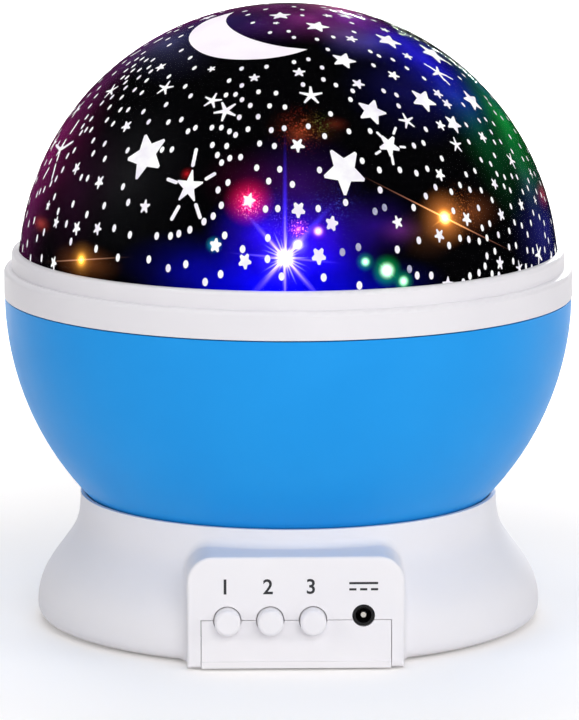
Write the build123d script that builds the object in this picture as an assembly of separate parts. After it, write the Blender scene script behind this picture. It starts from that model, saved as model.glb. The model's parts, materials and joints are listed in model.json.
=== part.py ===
from build123d import *
import os
from math import asin, atan2, cos, degrees, pi, radians, sin, sqrt

# Star night light projector: a ball that turns slowly on a flared base.
# Millimetres. +Z is up, the origin is on the floor under the ball's axis,
# and the button panel faces -Y.

# ---------------------------------------------------------------- ball
BALL_RADIUS = 65.0           # widest part of the ball: the lower band of the collar
DOME_INSET = 3.26            # the dome's sphere lies this far inside the band
DOME_CENTRE_RISE = 1.85      # dome sphere's centre above the ledge it stands on
DOME_WALL = 1.5
FILM_WALL = 0.5              # printed black film under the dome
FILM_GAP = 0.15              # air between film and dome

RING_SEAM = 0.3              # fine joint between bowl and collar
BAND_HEIGHT = 6.4            # lower band of the collar
BAND_FILLET = 1.1
NECK_STEP = 1.8              # the upper part of the collar is this much narrower
NECK_HEIGHT = 4.1
NECK_FILLET = 1.0
RING_GRIP = 0.12             # play between the collar and the dome's sphere
LEDGE_RISE = 2.7             # ledge in the collar that dome and film stand on
LEDGE_THICKNESS = 1.6
LEDGE_REACH = 1.29           # the ledge runs this far in under the film
SPIGOT_PLAY = 0.47           # skirt of the collar that reaches into the bowl
SPIGOT_WALL = 2.1
SPIGOT_DEPTH = 2.5
KEY_ANGLES = (30, 150, 270)  # ribs that turn the collar with the bowl
KEY_WIDTH = 2.4
KEY_PLAY = 0.3
KEY_DEPTH = 1.5
KEY_LENGTH = 4.6

BOWL_STEP = 0.13             # the bowl is this much narrower than the collar
BOWL_HALF_HEIGHT = 66.39     # half height of the bowl's ellipse
BOWL_CENTRE_RISE = 1.0       # centre of that ellipse above the bowl's edge
BOWL_WALL = 2.2

# ---------------------------------------------------------------- base
UNDERSIDE = 0.6              # the base stands this high on its rubber feet
FOOT_HEIGHT = 3.8            # height of the widest part
FOOT_UNDERCUT = 3.1          # the rounded foot draws in this much to the underside
FLARE_SPREAD = 9.95          # the foot is this much wider than the rim
SHOULDER_INSET = 2.2
SHOULDER_RISE = 8.2
HOLLOW_PROUD = 2.15
HOLLOW_DROP = 9.6
RIM_HEIGHT = 6.0             # the rim stands this high round the bowl
RIM_GAP = 0.35               # running gap between the rim and the bowl
RIM_WALL = 1.0
BASE_WALL = 2.2
DECK_THICKNESS = 2.0         # floor of the cup that the bowl turns in
COVER_THICKNESS = 2.0        # bottom cover
COVER_PLAY = 0.2
COVER_LEDGE = 1.0            # width of the ledge that the cover lies against
FOOT_LIP = 1.2               # the foot's own edge round the cover
INNER_WALL_LEAN = 1.1
INNER_WALL_BEND = 0.5

PANEL_PROUD = 0.3            # the panel stands this far in front of the foot
PANEL_LEFT = -24.0
PANEL_RIGHT = 24.2
PANEL_DROP = 4.0             # the panel ends this far below the rim
PANEL_CORNER = 5.7
PANEL_EDGE = 0.7
PANEL_ROOT_FILLET = 2.0      # soft corner between the boss and the flare
PANEL_ROOT = 4.0             # the boss runs this far in behind the rim
PANEL_VOID_DEPTH = 11.0
TAB_INSET_LEFT = 3.0         # front tab of the bottom cover
TAB_INSET_RIGHT = 2.8
TAB_SEAM = 0.15
TAB_OVER_BUTTONS = 0.05      # the seam runs through the middle of the buttons
TAB_LIP_HEIGHT = 1.4
TAB_LIP_PROUD = 0.6

# ---------------------------------------------------------------- controls
BUTTON_X = (-15.1, -5.6, 3.9)
BUTTON_Z = 11.35
BUTTON_RADIUS = 2.9
BUTTON_GAP = 0.25
BUTTON_PROUD = 3.9
BUTTON_EDGE = 0.9
BUTTON_TRAVEL = 0.8
BUTTON_FLANGE = 1.0          # the flange is this much wider all round
BUTTON_FLANGE_THICKNESS = 1.0
FLANGE_GAP = 0.2
SWITCH_SIDE = 6.0
SWITCH_DEPTH = 3.5
PLUNGER_RADIUS = 1.7
PLUNGER_CAP = 0.1            # the button's stem is this much wider than the plunger
PLUNGER_FIT = 0.05
PLUNGER_PROUD = 1.6
PLUNGER_SUNK = 1.3

JACK_X = 15.1
JACK_Z = 12.3
JACK_BORE_RADIUS = 1.78
JACK_BORE_DEPTH = 9.0
JACK_NOSE_WALL = 0.55
JACK_BODY_WALL = 1.4
JACK_HOLE_GAP = 0.2
JACK_SET_BACK = 0.4
JACK_PIN_RADIUS = 0.6
JACK_PIN_SET_BACK = 0.5

BOARD_DEPTH = 9.6            # main board, this far behind the panel's wall
BOARD_THICKNESS = 1.2
BOARD_EDGE_PLAY = 0.6
BOARD_OVER_COVER = 2.4
BOARD_UNDER_DECK = 0.8
BOARD_SCREW_INSET = 1.8
BOARD_SCREW_DROP = 2.7
BOARD_POST_RADIUS = 2.2
CHIP_X = -10.5
CHIP_WIDTH = 5.0
CHIP_HEIGHT = 6.0
CHIP_THICKNESS = 1.6
CAPACITOR_X = 9.5
CAPACITOR_RADIUS = 2.5
CAPACITOR_LENGTH = 7.0
CAPACITOR_EDGE = 0.4
PARTS_Z = 10.5               # height of chip and capacitor on the board

# ---------------------------------------------------------------- batteries
CELL_RADIUS = 5.25           # AAA cell
CELL_LENGTH = 44.5
CELL_EDGE = 0.5
CELL_NUB_RADIUS = 1.9
CELL_NUB_LENGTH = 0.9
CELL_SPACING = 0.8           # between neighbouring cells
CELL_COUNT = 4
CELL_PLAY = 0.1
CONTACT_THICKNESS = 0.4
CONTACT_INSET = 1.05         # the contact plates are narrower than the cells
CONTACT_PLAY = 0.1
SPRING_WIRE = 0.5
SPRING_ROOM = 7.0            # space for a spring behind each cell
SPRING_BIG_RADIUS = 3.4
SPRING_SMALL_RADIUS = 2.5
SPRING_TURNS = 5
BOX_CENTRE_Y = 2.0           # battery box
BOX_SIDE_PLAY = 1.0
BOX_WALL = 1.6
DOOR_BOTTOM = 0.9
DOOR_THICKNESS = 2.0
DOOR_GAP = 0.3
DOOR_BEAD_RADIUS = 1.3
DOOR_PIN_RADIUS = 0.8
DOOR_PIN_FIT = 0.05
DOOR_PIN_LENGTH = 1.0
DOOR_GRIP_RADIUS = 9.0
DOOR_GRIP_DEPTH = 0.8

# ---------------------------------------------------------------- bearing
POST_RADIUS = 8.0            # hollow post, fixed to the base
POST_WALL = 3.4
POST_END = 0.9               # post above its clip
POST_FLANGE_WIDTH = 7.0
POST_FLANGE_THICKNESS = 2.2
POST_HOLE_GAP = 0.1
BEARING_FIT = 0.05           # radial play of the ball's hub on the post
HUB_WALL = 2.95
HUB_HEIGHT = 10.1
WASHER_WIDTH = 9.0
WASHER_THICKNESS = 0.95
WASHER_PLAY = 0.05
SEAT_BORDER = 3.0            # raised seat for the washer, wider than it
SEAT_HEIGHT = 0.4
CLIP_THICKNESS = 0.8
CLIP_PROUD = 1.9
CLIP_GROOVE_DEPTH = 0.8
CLIP_PLAY = 0.2
CLIP_OPENING = 9.0

# ---------------------------------------------------------------- drive
MODULE = 0.8
GEAR_TEETH = 45              # turntable gear on the bowl
PINION_TEETH = 15
PRESSURE_ANGLE = 20.0
BACKLASH = 0.09              # taken off each flank
GEAR_RISE = 3.0              # gear above the bowl's floor
GEAR_THICKNESS = 3.0
GEAR_BORE_PLAY = 0.1
PINION_OVERLAP = 0.1
PINION_HUB_RADIUS = 2.9
PINION_UNDER_PLATE = 1.4
SHAFT_RADIUS = 1.5
SHAFT_FIT = 0.05
PLATE_MARGIN = 2.0           # motor plate round the motor
MOTOR_PLATE_THICKNESS = 2.0
PLATE_WINDOW_RADIUS = 6.0
GEARBOX_HEIGHT = 9.0
GEARBOX_EDGE = 0.8
SHAFT_END_WALL = 3.5
MOTOR_WIDTH = 12.0
MOTOR_DEPTH = 10.0
MOTOR_LENGTH = 15.0
END_CAP_HEIGHT = 1.4
END_CAP_INSET = 0.6
TERMINAL_HEIGHT = 2.2
TERMINAL_WIDTH = 2.0
TERMINAL_THICKNESS = 0.4
TERMINAL_X = 2.4
MOTOR_SCREW_X = 4.4

# ---------------------------------------------------------------- lamps
COLUMN_PLAY = 0.7            # column round the heads of the plate screws
COLUMN_WALL = 2.0
COLUMN_FLANGE_WIDTH = 5.4
COLUMN_FLANGE_THICKNESS = 2.0
COLUMN_HEAD = 3.0
COLUMN_WINDOW_HEIGHT = 14.0
COLUMN_WINDOW_OVER_MOTOR = 3.6
COLUMN_WINDOW_HALF = 3.4
LED_BOARD_BELOW_CENTRE = 4.45
LED_BOARD_THICKNESS = 1.2
LED_BOARD_OVERHANG = 2.4
LED_CIRCLE_RADIUS = 5.2      # distance of each LED from the axis
LED_RADIUS = 2.5
LED_HEIGHT = 8.0
LED_RIM = 0.4
LED_RIM_HEIGHT = 1.0
INNER_DECK_PLAY = 1.37       # inner deck inside the bowl's widest part
INNER_DECK_DEPTH = 5.0       # its top below the bowl's edge
INNER_DECK_THICKNESS = 2.0
INNER_DECK_OVER_MOTOR = 1.4
INNER_DECK_HOLE_GAP = 2.0
INNER_DECK_LIP = 1.6
DECK_POST_INSET = 11.3
DECK_POST_RADIUS = 3.2
DECK_SCREW_ANGLES = (90, 210, 330)

# ---------------------------------------------------------------- fasteners
SCREW_HEAD_RADIUS = 1.9
SCREW_HEAD_HEIGHT = 1.2
SCREW_SHANK_RADIUS = 0.95
SCREW_PLAY = 0.15            # clearance hole round a shank
SCREW_BITE = 0.02            # pilot hole round a shank
COVER_SCREW_INSET = 8.9
COVER_SCREW_ANGLES = (45, 135, 225, 315)
COVER_SCREW_LENGTH = 11.0
COVER_WELL_WALL = 1.8
COVER_WELL_HEAD_PLAY = 0.5
COVER_WELL_DEPTH = 2.6       # the head lies this deep in the cover
COVER_WELL_FLOOR = 1.8
BOSS_RADIUS = 3.2
BOSS_GAP = 0.1
FOOT_PAD_RADIUS = 4.5
FOOT_PAD_RECESS = 1.0
FOOT_PAD_INSET = 9.4
FOOT_PAD_ANGLES = (0, 90, 180, 270)
PLATE_SCREW_SHANK = 0.8
PLATE_SCREW_HEAD = 1.6
PLATE_SCREW_LENGTH = 7.0
MOTOR_SCREW_SHANK = 0.6
MOTOR_SCREW_HEAD = 1.3
MOTOR_SCREW_LENGTH = 5.0
DECK_SCREW_LENGTH = 8.0
BOARD_SCREW_LENGTH = 7.0
GEAR_POST_RADIUS = 2.4
GEAR_POST_GAP = 0.1
LED_BOARD_SCREW_HEAD = 1.7
THIRDS = (30, 150, 270)

LEAD_RADIUS = 0.45           # insulated wire
LEAD_BEND = 3.0
LEAD_REST = 0.15             # motor leads over the battery box
LEAD_LAYER_GAP = 0.25        # LED leads over the motor leads
LEAD_HEAD_GAP = 0.2          # LED leads under the post's screw heads
LEAD_STUB = 6.0
LEAD_RISE = 5.0
LED_LEAD_X = (-3.0, -1.0, 1.0, 3.0)
LED_LEAD_Y = -1.5
MOTOR_LEAD_X = 2.0
MOTOR_LEAD_Y = 1.6
MOTOR_LEAD_TURN_Y = 12.0

# ---------------------------------------------------------------- worked out, from the table up
UP = (Align.CENTER, Align.CENTER, Align.MIN)
COVER_TOP = UNDERSIDE + COVER_THICKNESS
DOOR_HINGE_Z = DOOR_BOTTOM + DOOR_BEAD_RADIUS
CELL_Z = DOOR_HINGE_Z + DOOR_BEAD_RADIUS + CELL_PLAY + CELL_RADIUS
BOX_TOP = CELL_Z + CELL_RADIUS + CELL_PLAY + BOX_WALL
MOTOR_LEAD_Z = BOX_TOP + LEAD_REST + LEAD_RADIUS
LED_LEAD_Z = MOTOR_LEAD_Z + 2 * LEAD_RADIUS + LEAD_LAYER_GAP
POST_FLANGE_BOTTOM = LED_LEAD_Z + LEAD_RADIUS + LEAD_HEAD_GAP + SCREW_HEAD_HEIGHT
DECK_BOTTOM = POST_FLANGE_BOTTOM + POST_FLANGE_THICKNESS
DECK_TOP = DECK_BOTTOM + DECK_THICKNESS
RIM_TOP = DECK_TOP + RIM_HEIGHT
SEAT_TOP = DECK_TOP + SEAT_HEIGHT
BOWL_FLOOR = SEAT_TOP + WASHER_THICKNESS + WASHER_PLAY
BOWL_FLOOR_TOP = BOWL_FLOOR + BOWL_WALL
GEAR_BOTTOM = BOWL_FLOOR_TOP + GEAR_RISE
GEAR_TOP = GEAR_BOTTOM + GEAR_THICKNESS
HUB_TOP = BOWL_FLOOR + HUB_HEIGHT
POST_TOP = HUB_TOP + CLIP_PLAY + CLIP_THICKNESS + POST_END
PINION_HUB_TOP = POST_TOP - PINION_UNDER_PLATE
PLATE_TOP = POST_TOP + MOTOR_PLATE_THICKNESS
GEARBOX_TOP = PLATE_TOP + GEARBOX_HEIGHT
MOTOR_TOP = GEARBOX_TOP + MOTOR_LENGTH
END_CAP_TOP = MOTOR_TOP + END_CAP_HEIGHT
COLUMN_WINDOW_TOP = END_CAP_TOP + COLUMN_WINDOW_OVER_MOTOR
COLUMN_WINDOW_BOTTOM = COLUMN_WINDOW_TOP - COLUMN_WINDOW_HEIGHT
INNER_DECK_BOTTOM = END_CAP_TOP + TERMINAL_HEIGHT + INNER_DECK_OVER_MOTOR
INNER_DECK_TOP = INNER_DECK_BOTTOM + INNER_DECK_THICKNESS
BOWL_TOP = INNER_DECK_TOP + INNER_DECK_DEPTH
BOWL_CENTRE_Z = BOWL_TOP + BOWL_CENTRE_RISE
RING_BOTTOM = BOWL_TOP + RING_SEAM
RING_SHOULDER = RING_BOTTOM + BAND_HEIGHT
RING_TOP = RING_SHOULDER + NECK_HEIGHT
SPIGOT_BOTTOM = BOWL_TOP - SPIGOT_DEPTH
KEY_BOTTOM = BOWL_TOP - KEY_LENGTH
LEDGE_TOP = RING_BOTTOM + LEDGE_RISE
DOME_CENTRE_Z = LEDGE_TOP + DOME_CENTRE_RISE
LED_BOARD_BOTTOM = DOME_CENTRE_Z - LED_BOARD_BELOW_CENTRE
LED_BOARD_TOP = LED_BOARD_BOTTOM + LED_BOARD_THICKNESS

# ---------------------------------------------------------------- worked out, from the axis out
DOME_RADIUS = BALL_RADIUS - DOME_INSET
FILM_RADIUS = DOME_RADIUS - DOME_WALL - FILM_GAP
NECK_RADIUS = BALL_RADIUS - NECK_STEP
BOWL_RADIUS = BALL_RADIUS - BOWL_STEP
SPIGOT_OUTER = BOWL_RADIUS - BOWL_WALL - SPIGOT_PLAY
LEDGE_INNER = FILM_RADIUS - FILM_WALL - LEDGE_REACH
INNER_DECK_RADIUS = BOWL_RADIUS - BOWL_WALL - INNER_DECK_PLAY
DECK_POST_CIRCLE = INNER_DECK_RADIUS - DECK_POST_INSET
GEAR_PITCH_RADIUS = MODULE * GEAR_TEETH / 2
GEAR_ROOT_RADIUS = GEAR_PITCH_RADIUS - 1.25 * MODULE
PINION_PITCH_RADIUS = MODULE * PINION_TEETH / 2
MOTOR_Y = GEAR_PITCH_RADIUS + PINION_PITCH_RADIUS
MOTOR_PLATE_RADIUS = MOTOR_Y + MOTOR_DEPTH / 2 + PLATE_MARGIN
HUB_RADIUS = POST_RADIUS + BEARING_FIT + HUB_WALL
POST_BORE = POST_RADIUS - POST_WALL
POST_FLANGE_RADIUS = POST_RADIUS + POST_FLANGE_WIDTH
POST_SCREW_CIRCLE = POST_RADIUS + POST_FLANGE_WIDTH * 4 / 7
PLATE_SCREW_CIRCLE = (POST_RADIUS + POST_BORE) / 2
WASHER_OUTER = POST_RADIUS + WASHER_WIDTH
SEAT_OUTER = WASHER_OUTER + SEAT_BORDER
CLIP_OUTER = POST_RADIUS + CLIP_PROUD
CLIP_GROOVE = POST_RADIUS - CLIP_GROOVE_DEPTH
GEAR_SCREW_CIRCLE = GEAR_ROOT_RADIUS - GEAR_POST_GAP - GEAR_POST_RADIUS
COLUMN_INNER = PLATE_SCREW_CIRCLE + PLATE_SCREW_HEAD + COLUMN_PLAY
COLUMN_OUTER = COLUMN_INNER + COLUMN_WALL
COLUMN_FLANGE = COLUMN_OUTER + COLUMN_FLANGE_WIDTH
COLUMN_SCREW_CIRCLE = COLUMN_OUTER + COLUMN_FLANGE_WIDTH * 0.52
PLATE_WINDOW_CIRCLE = COLUMN_FLANGE + PLATE_WINDOW_RADIUS
LED_BOARD_RADIUS = COLUMN_OUTER + LED_BOARD_OVERHANG
LED_BOARD_SCREW_X = COLUMN_INNER
INNER_DECK_HOLE = LED_BOARD_RADIUS + INNER_DECK_HOLE_GAP

CELL_PITCH = 2 * CELL_RADIUS + CELL_SPACING
CELL_X = [CELL_PITCH * (i - (CELL_COUNT - 1) / 2) for i in range(CELL_COUNT)]
BOX_HALF_X = CELL_X[-1] + CELL_RADIUS + BOX_SIDE_PLAY
BOX_HALF_Y = (CELL_LENGTH + 2 * CONTACT_THICKNESS + CONTACT_PLAY + SPRING_ROOM) / 2
BOX_FRONT = BOX_CENTRE_Y - BOX_HALF_Y
BOX_BACK = BOX_CENTRE_Y + BOX_HALF_Y
DOOR_HINGE_Y = BOX_BACK - DOOR_GAP - DOOR_BEAD_RADIUS
CONTACT_HALF_WIDTH = CELL_RADIUS - CONTACT_INSET
CONTACT_HALF_HEIGHT = CELL_RADIUS - CONTACT_INSET


def bowl_radius(height, shrink=0.0):
    """Radius of the bowl's ellipse at a height."""
    share = (height - BOWL_CENTRE_Z) / (BOWL_HALF_HEIGHT - shrink)
    return (BOWL_RADIUS - shrink) * sqrt(1 - share ** 2)


RIM_INNER = bowl_radius(RIM_TOP) + RIM_GAP
RIM_RADIUS = RIM_INNER + RIM_WALL
FOOT_RADIUS = RIM_RADIUS + FLARE_SPREAD
FOOT_BOTTOM_RADIUS = FOOT_RADIUS - FOOT_UNDERCUT
FLARE_SHOULDER = (FOOT_RADIUS - SHOULDER_INSET, FOOT_HEIGHT + SHOULDER_RISE)
FLARE_HOLLOW = (RIM_RADIUS + HOLLOW_PROUD, RIM_TOP - HOLLOW_DROP)
INNER_WALL_TOP_RADIUS = FLARE_HOLLOW[0] - BASE_WALL - INNER_WALL_LEAN
INNER_WALL_BEND_Z = FLARE_SHOULDER[1] - INNER_WALL_BEND
COVER_RADIUS = FOOT_BOTTOM_RADIUS - FOOT_LIP
COVER_SCREW_CIRCLE = COVER_RADIUS - COVER_SCREW_INSET
COVER_WELL_RADIUS = SCREW_HEAD_RADIUS + COVER_WELL_HEAD_PLAY + COVER_WELL_WALL
COVER_WELL_SEAT = UNDERSIDE + COVER_WELL_DEPTH
COVER_WELL_TOP = COVER_WELL_SEAT + COVER_WELL_FLOOR
FOOT_PAD_CIRCLE = COVER_RADIUS - FOOT_PAD_INSET

PANEL_FRONT = -FOOT_RADIUS - PANEL_PROUD
PANEL_INNER = PANEL_FRONT + BASE_WALL
PANEL_BACK = PANEL_ROOT - sqrt(RIM_RADIUS ** 2 - max(-PANEL_LEFT, PANEL_RIGHT) ** 2)
PANEL_VOID_BACK = PANEL_FRONT + PANEL_VOID_DEPTH
PANEL_TOP = RIM_TOP - PANEL_DROP
TAB_LEFT = PANEL_LEFT + TAB_INSET_LEFT
TAB_RIGHT = PANEL_RIGHT - TAB_INSET_RIGHT
TAB_TOP = BUTTON_Z + TAB_OVER_BUTTONS
TAB_LIP_TOP = UNDERSIDE + TAB_LIP_HEIGHT
BOARD_FRONT = PANEL_INNER + BOARD_DEPTH
BOARD_BACK = BOARD_FRONT + BOARD_THICKNESS
BOARD_LEFT = PANEL_LEFT + BASE_WALL + BOARD_EDGE_PLAY
BOARD_RIGHT = PANEL_RIGHT - BASE_WALL - BOARD_EDGE_PLAY
BOARD_BOTTOM = COVER_TOP + BOARD_OVER_COVER
BOARD_TOP = DECK_BOTTOM - BOARD_UNDER_DECK
BOARD_SCREW_X = (BOARD_LEFT + BOARD_SCREW_INSET, BOARD_RIGHT - BOARD_SCREW_INSET)
BOARD_SCREW_Z = BOARD_TOP - BOARD_SCREW_DROP
SWITCH_FRONT = BOARD_FRONT - SWITCH_DEPTH
PLUNGER_FRONT = SWITCH_FRONT - PLUNGER_PROUD
BUTTON_STEM_RADIUS = PLUNGER_RADIUS + PLUNGER_CAP
BUTTON_FLANGE_RADIUS = BUTTON_RADIUS + BUTTON_FLANGE
JACK_NOSE_RADIUS = JACK_BORE_RADIUS + JACK_NOSE_WALL
JACK_BODY_HALF = JACK_BORE_RADIUS + JACK_BODY_WALL
SHAFT_TOP = GEARBOX_TOP - SHAFT_END_WALL


# ---------------------------------------------------------------- shapes
def disc(radius, bottom, top, x=0.0, y=0.0):
    """Upright cylinder between two heights."""
    return Pos(x, y, bottom) * Cylinder(radius, top - bottom, align=UP)


def rod(radius, front, back, x, z):
    """Cylinder along Y between two depths."""
    return Pos(x, front, z) * Rot(-90, 0, 0) * Cylinder(radius, back - front, align=UP)


def block(x0, x1, y0, y1, z0, z1):
    """Box between six coordinates."""
    return Pos((x0 + x1) / 2, (y0 + y1) / 2, z0) * Box(x1 - x0, y1 - y0, z1 - z0, align=UP)


def turned(*outline):
    """Solid of revolution about Z of lines drawn as (radius, height)."""
    return revolve(Plane.XZ * make_face(Curve() + list(outline)), Axis.Z)


def polar(distance, angle):
    """X and Y of a point at a distance and an angle in degrees."""
    return distance * cos(radians(angle)), distance * sin(radians(angle))


def ellipse_arc(shrink, low, high):
    """Arc of the bowl's ellipse, moved in by shrink, between two heights."""
    tall = BOWL_HALF_HEIGHT - shrink
    start = degrees(asin((low - BOWL_CENTRE_Z) / tall))
    finish = degrees(asin((high - BOWL_CENTRE_Z) / tall))
    wide = BOWL_RADIUS - shrink
    return EllipticalCenterArc((0, BOWL_CENTRE_Z), wide, tall, start, arc_size=finish - start)


def cap_shell(outer, wall, bottom):
    """Spherical shell about the dome's centre, open below a height."""
    rise = bottom - DOME_CENTRE_Z
    inner = outer - wall
    out_low = (sqrt(outer ** 2 - rise ** 2), bottom)
    in_low = (sqrt(inner ** 2 - rise ** 2), bottom)
    out_start = degrees(atan2(rise, out_low[0]))
    in_start = degrees(atan2(rise, in_low[0]))
    return turned(
        CenterArc((0, DOME_CENTRE_Z), outer, out_start, 90 - out_start),
        Line((0, DOME_CENTRE_Z + outer), (0, DOME_CENTRE_Z + inner)),
        CenterArc((0, DOME_CENTRE_Z), inner, in_start, 90 - in_start),
        Line(in_low, out_low),
    )


def screw(length, head=SCREW_HEAD_RADIUS, shank=SCREW_SHANK_RADIUS):
    """Pan head screw: the head stands on z = 0 and the shank points down."""
    body = disc(head, 0, SCREW_HEAD_HEIGHT) + disc(shank, -length, 0)
    body = fillet(body.edges().group_by(Axis.Z)[-1], SCREW_HEAD_HEIGHT * 0.4)
    slot, half = head * 0.55, head * 0.1
    cross = block(-slot, slot, -half, half, SCREW_HEAD_HEIGHT * 0.45, SCREW_HEAD_HEIGHT + 1)
    return body - cross - Rot(0, 0, 90) * cross


def ring_of(piece, distance, angles, height):
    """Copies of a piece at a distance from the axis, as a list of solids."""
    return [Pos(*polar(distance, angle), height) * piece for angle in angles]


def group(solids):
    """Separate solids kept together in one node."""
    return Compound(children=list(solids))


def involute(base, radius):
    """Angle that an involute has turned through at a radius, in radians."""
    roll = sqrt(max((radius / base) ** 2 - 1, 0))
    return roll - atan2(roll, 1)


def gear_face(teeth, first_angle):
    """Spur gear outline with one tooth centred on first_angle, in degrees."""
    pitch = MODULE * teeth / 2
    base = pitch * cos(radians(PRESSURE_ANGLE))
    tip = pitch + MODULE
    root = pitch - 1.25 * MODULE
    half_tooth = pi / (2 * teeth) + involute(base, pitch) - BACKLASH / pitch
    start = max(base, root)
    radii = [start, (start + pitch) / 2, pitch, (pitch + tip) / 2, tip]
    flank = [(r, half_tooth - involute(base, r)) for r in radii]
    foot = [(root, half_tooth)] if root < base else []
    tooth = [(r, -a) for r, a in foot + flank] + [(r, a) for r, a in reversed(foot + flank)]
    points = []
    for count in range(teeth):
        middle = radians(first_angle) + 2 * pi * count / teeth
        points += [(r * cos(middle + a), r * sin(middle + a)) for r, a in tooth]
    return make_face(Polyline(*points, close=True))


def wire(points, radius=LEAD_BEND):
    """Insulated lead along straight runs joined by tangent arcs."""
    path = FilletPolyline(*points, radius=radius) if len(points) > 2 else Line(*points)
    start = Plane(origin=path @ 0, z_dir=path % 0)
    return sweep(start * Circle(LEAD_RADIUS), path=path)


# ---------------------------------------------------------------- cover that lifts off
def dome_cover():
    return cap_shell(DOME_RADIUS, DOME_WALL, LEDGE_TOP)


def star_film():
    return cap_shell(FILM_RADIUS, FILM_WALL, LEDGE_TOP)


def collar_ring():
    grip = DOME_RADIUS + RING_GRIP
    top_inner = sqrt(grip ** 2 - (RING_TOP - DOME_CENTRE_Z) ** 2)
    seat_inner = sqrt(grip ** 2 - (LEDGE_TOP - DOME_CENTRE_Z) ** 2)
    grip_low = degrees(atan2(LEDGE_TOP - DOME_CENTRE_Z, seat_inner))
    grip_high = degrees(atan2(RING_TOP - DOME_CENTRE_Z, top_inner))
    shoulder, top = BAND_FILLET, NECK_FILLET
    spigot_inner = SPIGOT_OUTER - SPIGOT_WALL
    ledge_bottom = LEDGE_TOP - LEDGE_THICKNESS
    ring = turned(
        Polyline((SPIGOT_OUTER, RING_BOTTOM), (BALL_RADIUS, RING_BOTTOM),
                 (BALL_RADIUS, RING_SHOULDER - shoulder)),
        RadiusArc((BALL_RADIUS, RING_SHOULDER - shoulder),
                  (BALL_RADIUS - shoulder, RING_SHOULDER), -shoulder),
        Polyline((BALL_RADIUS - shoulder, RING_SHOULDER), (NECK_RADIUS, RING_SHOULDER),
                 (NECK_RADIUS, RING_TOP - top)),
        RadiusArc((NECK_RADIUS, RING_TOP - top), (NECK_RADIUS - top, RING_TOP), -top),
        Line((NECK_RADIUS - top, RING_TOP), (top_inner, RING_TOP)),
        CenterArc((0, DOME_CENTRE_Z), grip, grip_low, grip_high - grip_low),
        Polyline((seat_inner, LEDGE_TOP), (LEDGE_INNER, LEDGE_TOP), (LEDGE_INNER, ledge_bottom),
                 (spigot_inner, ledge_bottom), (spigot_inner, SPIGOT_BOTTOM),
                 (SPIGOT_OUTER, SPIGOT_BOTTOM), (SPIGOT_OUTER, RING_BOTTOM)),
    )
    half = KEY_WIDTH / 2 + KEY_PLAY
    notch = block(spigot_inner - 1, SPIGOT_OUTER + 1, -half, half, SPIGOT_BOTTOM - 1, BOWL_TOP)
    for angle in KEY_ANGLES:
        ring -= Rot(0, 0, angle) * notch
    return ring


# ---------------------------------------------------------------- bowl that turns
def bowl():
    bore = POST_RADIUS + BEARING_FIT
    shell = turned(
        Line((bore, BOWL_FLOOR), (bowl_radius(BOWL_FLOOR), BOWL_FLOOR)),
        ellipse_arc(0, BOWL_FLOOR, BOWL_TOP),
        Line((bowl_radius(BOWL_TOP), BOWL_TOP), (bowl_radius(BOWL_TOP, BOWL_WALL), BOWL_TOP)),
        ellipse_arc(BOWL_WALL, BOWL_FLOOR_TOP, BOWL_TOP),
        Polyline((bowl_radius(BOWL_FLOOR_TOP, BOWL_WALL), BOWL_FLOOR_TOP),
                 (HUB_RADIUS, BOWL_FLOOR_TOP), (HUB_RADIUS, HUB_TOP), (bore, HUB_TOP),
                 (bore, BOWL_FLOOR)),
    )
    envelope = turned(
        Line((0, BOWL_FLOOR), (bowl_radius(BOWL_FLOOR), BOWL_FLOOR)),
        ellipse_arc(0, BOWL_FLOOR, BOWL_TOP),
        Polyline((bowl_radius(BOWL_TOP), BOWL_TOP), (0, BOWL_TOP), (0, BOWL_FLOOR)),
    )
    pilot = SCREW_SHANK_RADIUS + SCREW_BITE
    for angle in DECK_SCREW_ANGLES:
        x, y = polar(DECK_POST_CIRCLE, angle)
        shell += disc(DECK_POST_RADIUS, BOWL_FLOOR_TOP, INNER_DECK_BOTTOM, x, y) & envelope
        shell -= disc(pilot, INNER_DECK_BOTTOM - DECK_SCREW_LENGTH, INNER_DECK_BOTTOM + 1, x, y)
    for angle in THIRDS:
        x, y = polar(GEAR_SCREW_CIRCLE, angle)
        shell += disc(GEAR_POST_RADIUS, BOWL_FLOOR_TOP - 0.5, GEAR_BOTTOM, x, y)
        shell -= disc(pilot, BOWL_FLOOR + 0.8, GEAR_BOTTOM + 1, x, y)
    rib_inner = bowl_radius(BOWL_TOP, BOWL_WALL) - KEY_DEPTH
    rib_outer = bowl_radius(KEY_BOTTOM) - BOWL_WALL / 2
    rib = block(rib_inner, rib_outer, -KEY_WIDTH / 2, KEY_WIDTH / 2, KEY_BOTTOM, BOWL_TOP - 0.3)
    for angle in KEY_ANGLES:
        shell += Rot(0, 0, angle) * rib
    return shell


def turntable_gear():
    face = gear_face(GEAR_TEETH, 90) - Circle(HUB_RADIUS + GEAR_BORE_PLAY)
    gear = Pos(0, 0, GEAR_BOTTOM) * extrude(face, GEAR_THICKNESS)
    for angle in THIRDS:
        x, y = polar(GEAR_SCREW_CIRCLE, angle)
        gear -= disc(SCREW_SHANK_RADIUS + SCREW_PLAY, GEAR_BOTTOM - 1, GEAR_TOP + 1, x, y)
    return gear


def gear_screws():
    length = GEAR_TOP - (BOWL_FLOOR + 1.2)
    return group(ring_of(screw(length), GEAR_SCREW_CIRCLE, THIRDS, GEAR_TOP))


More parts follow.
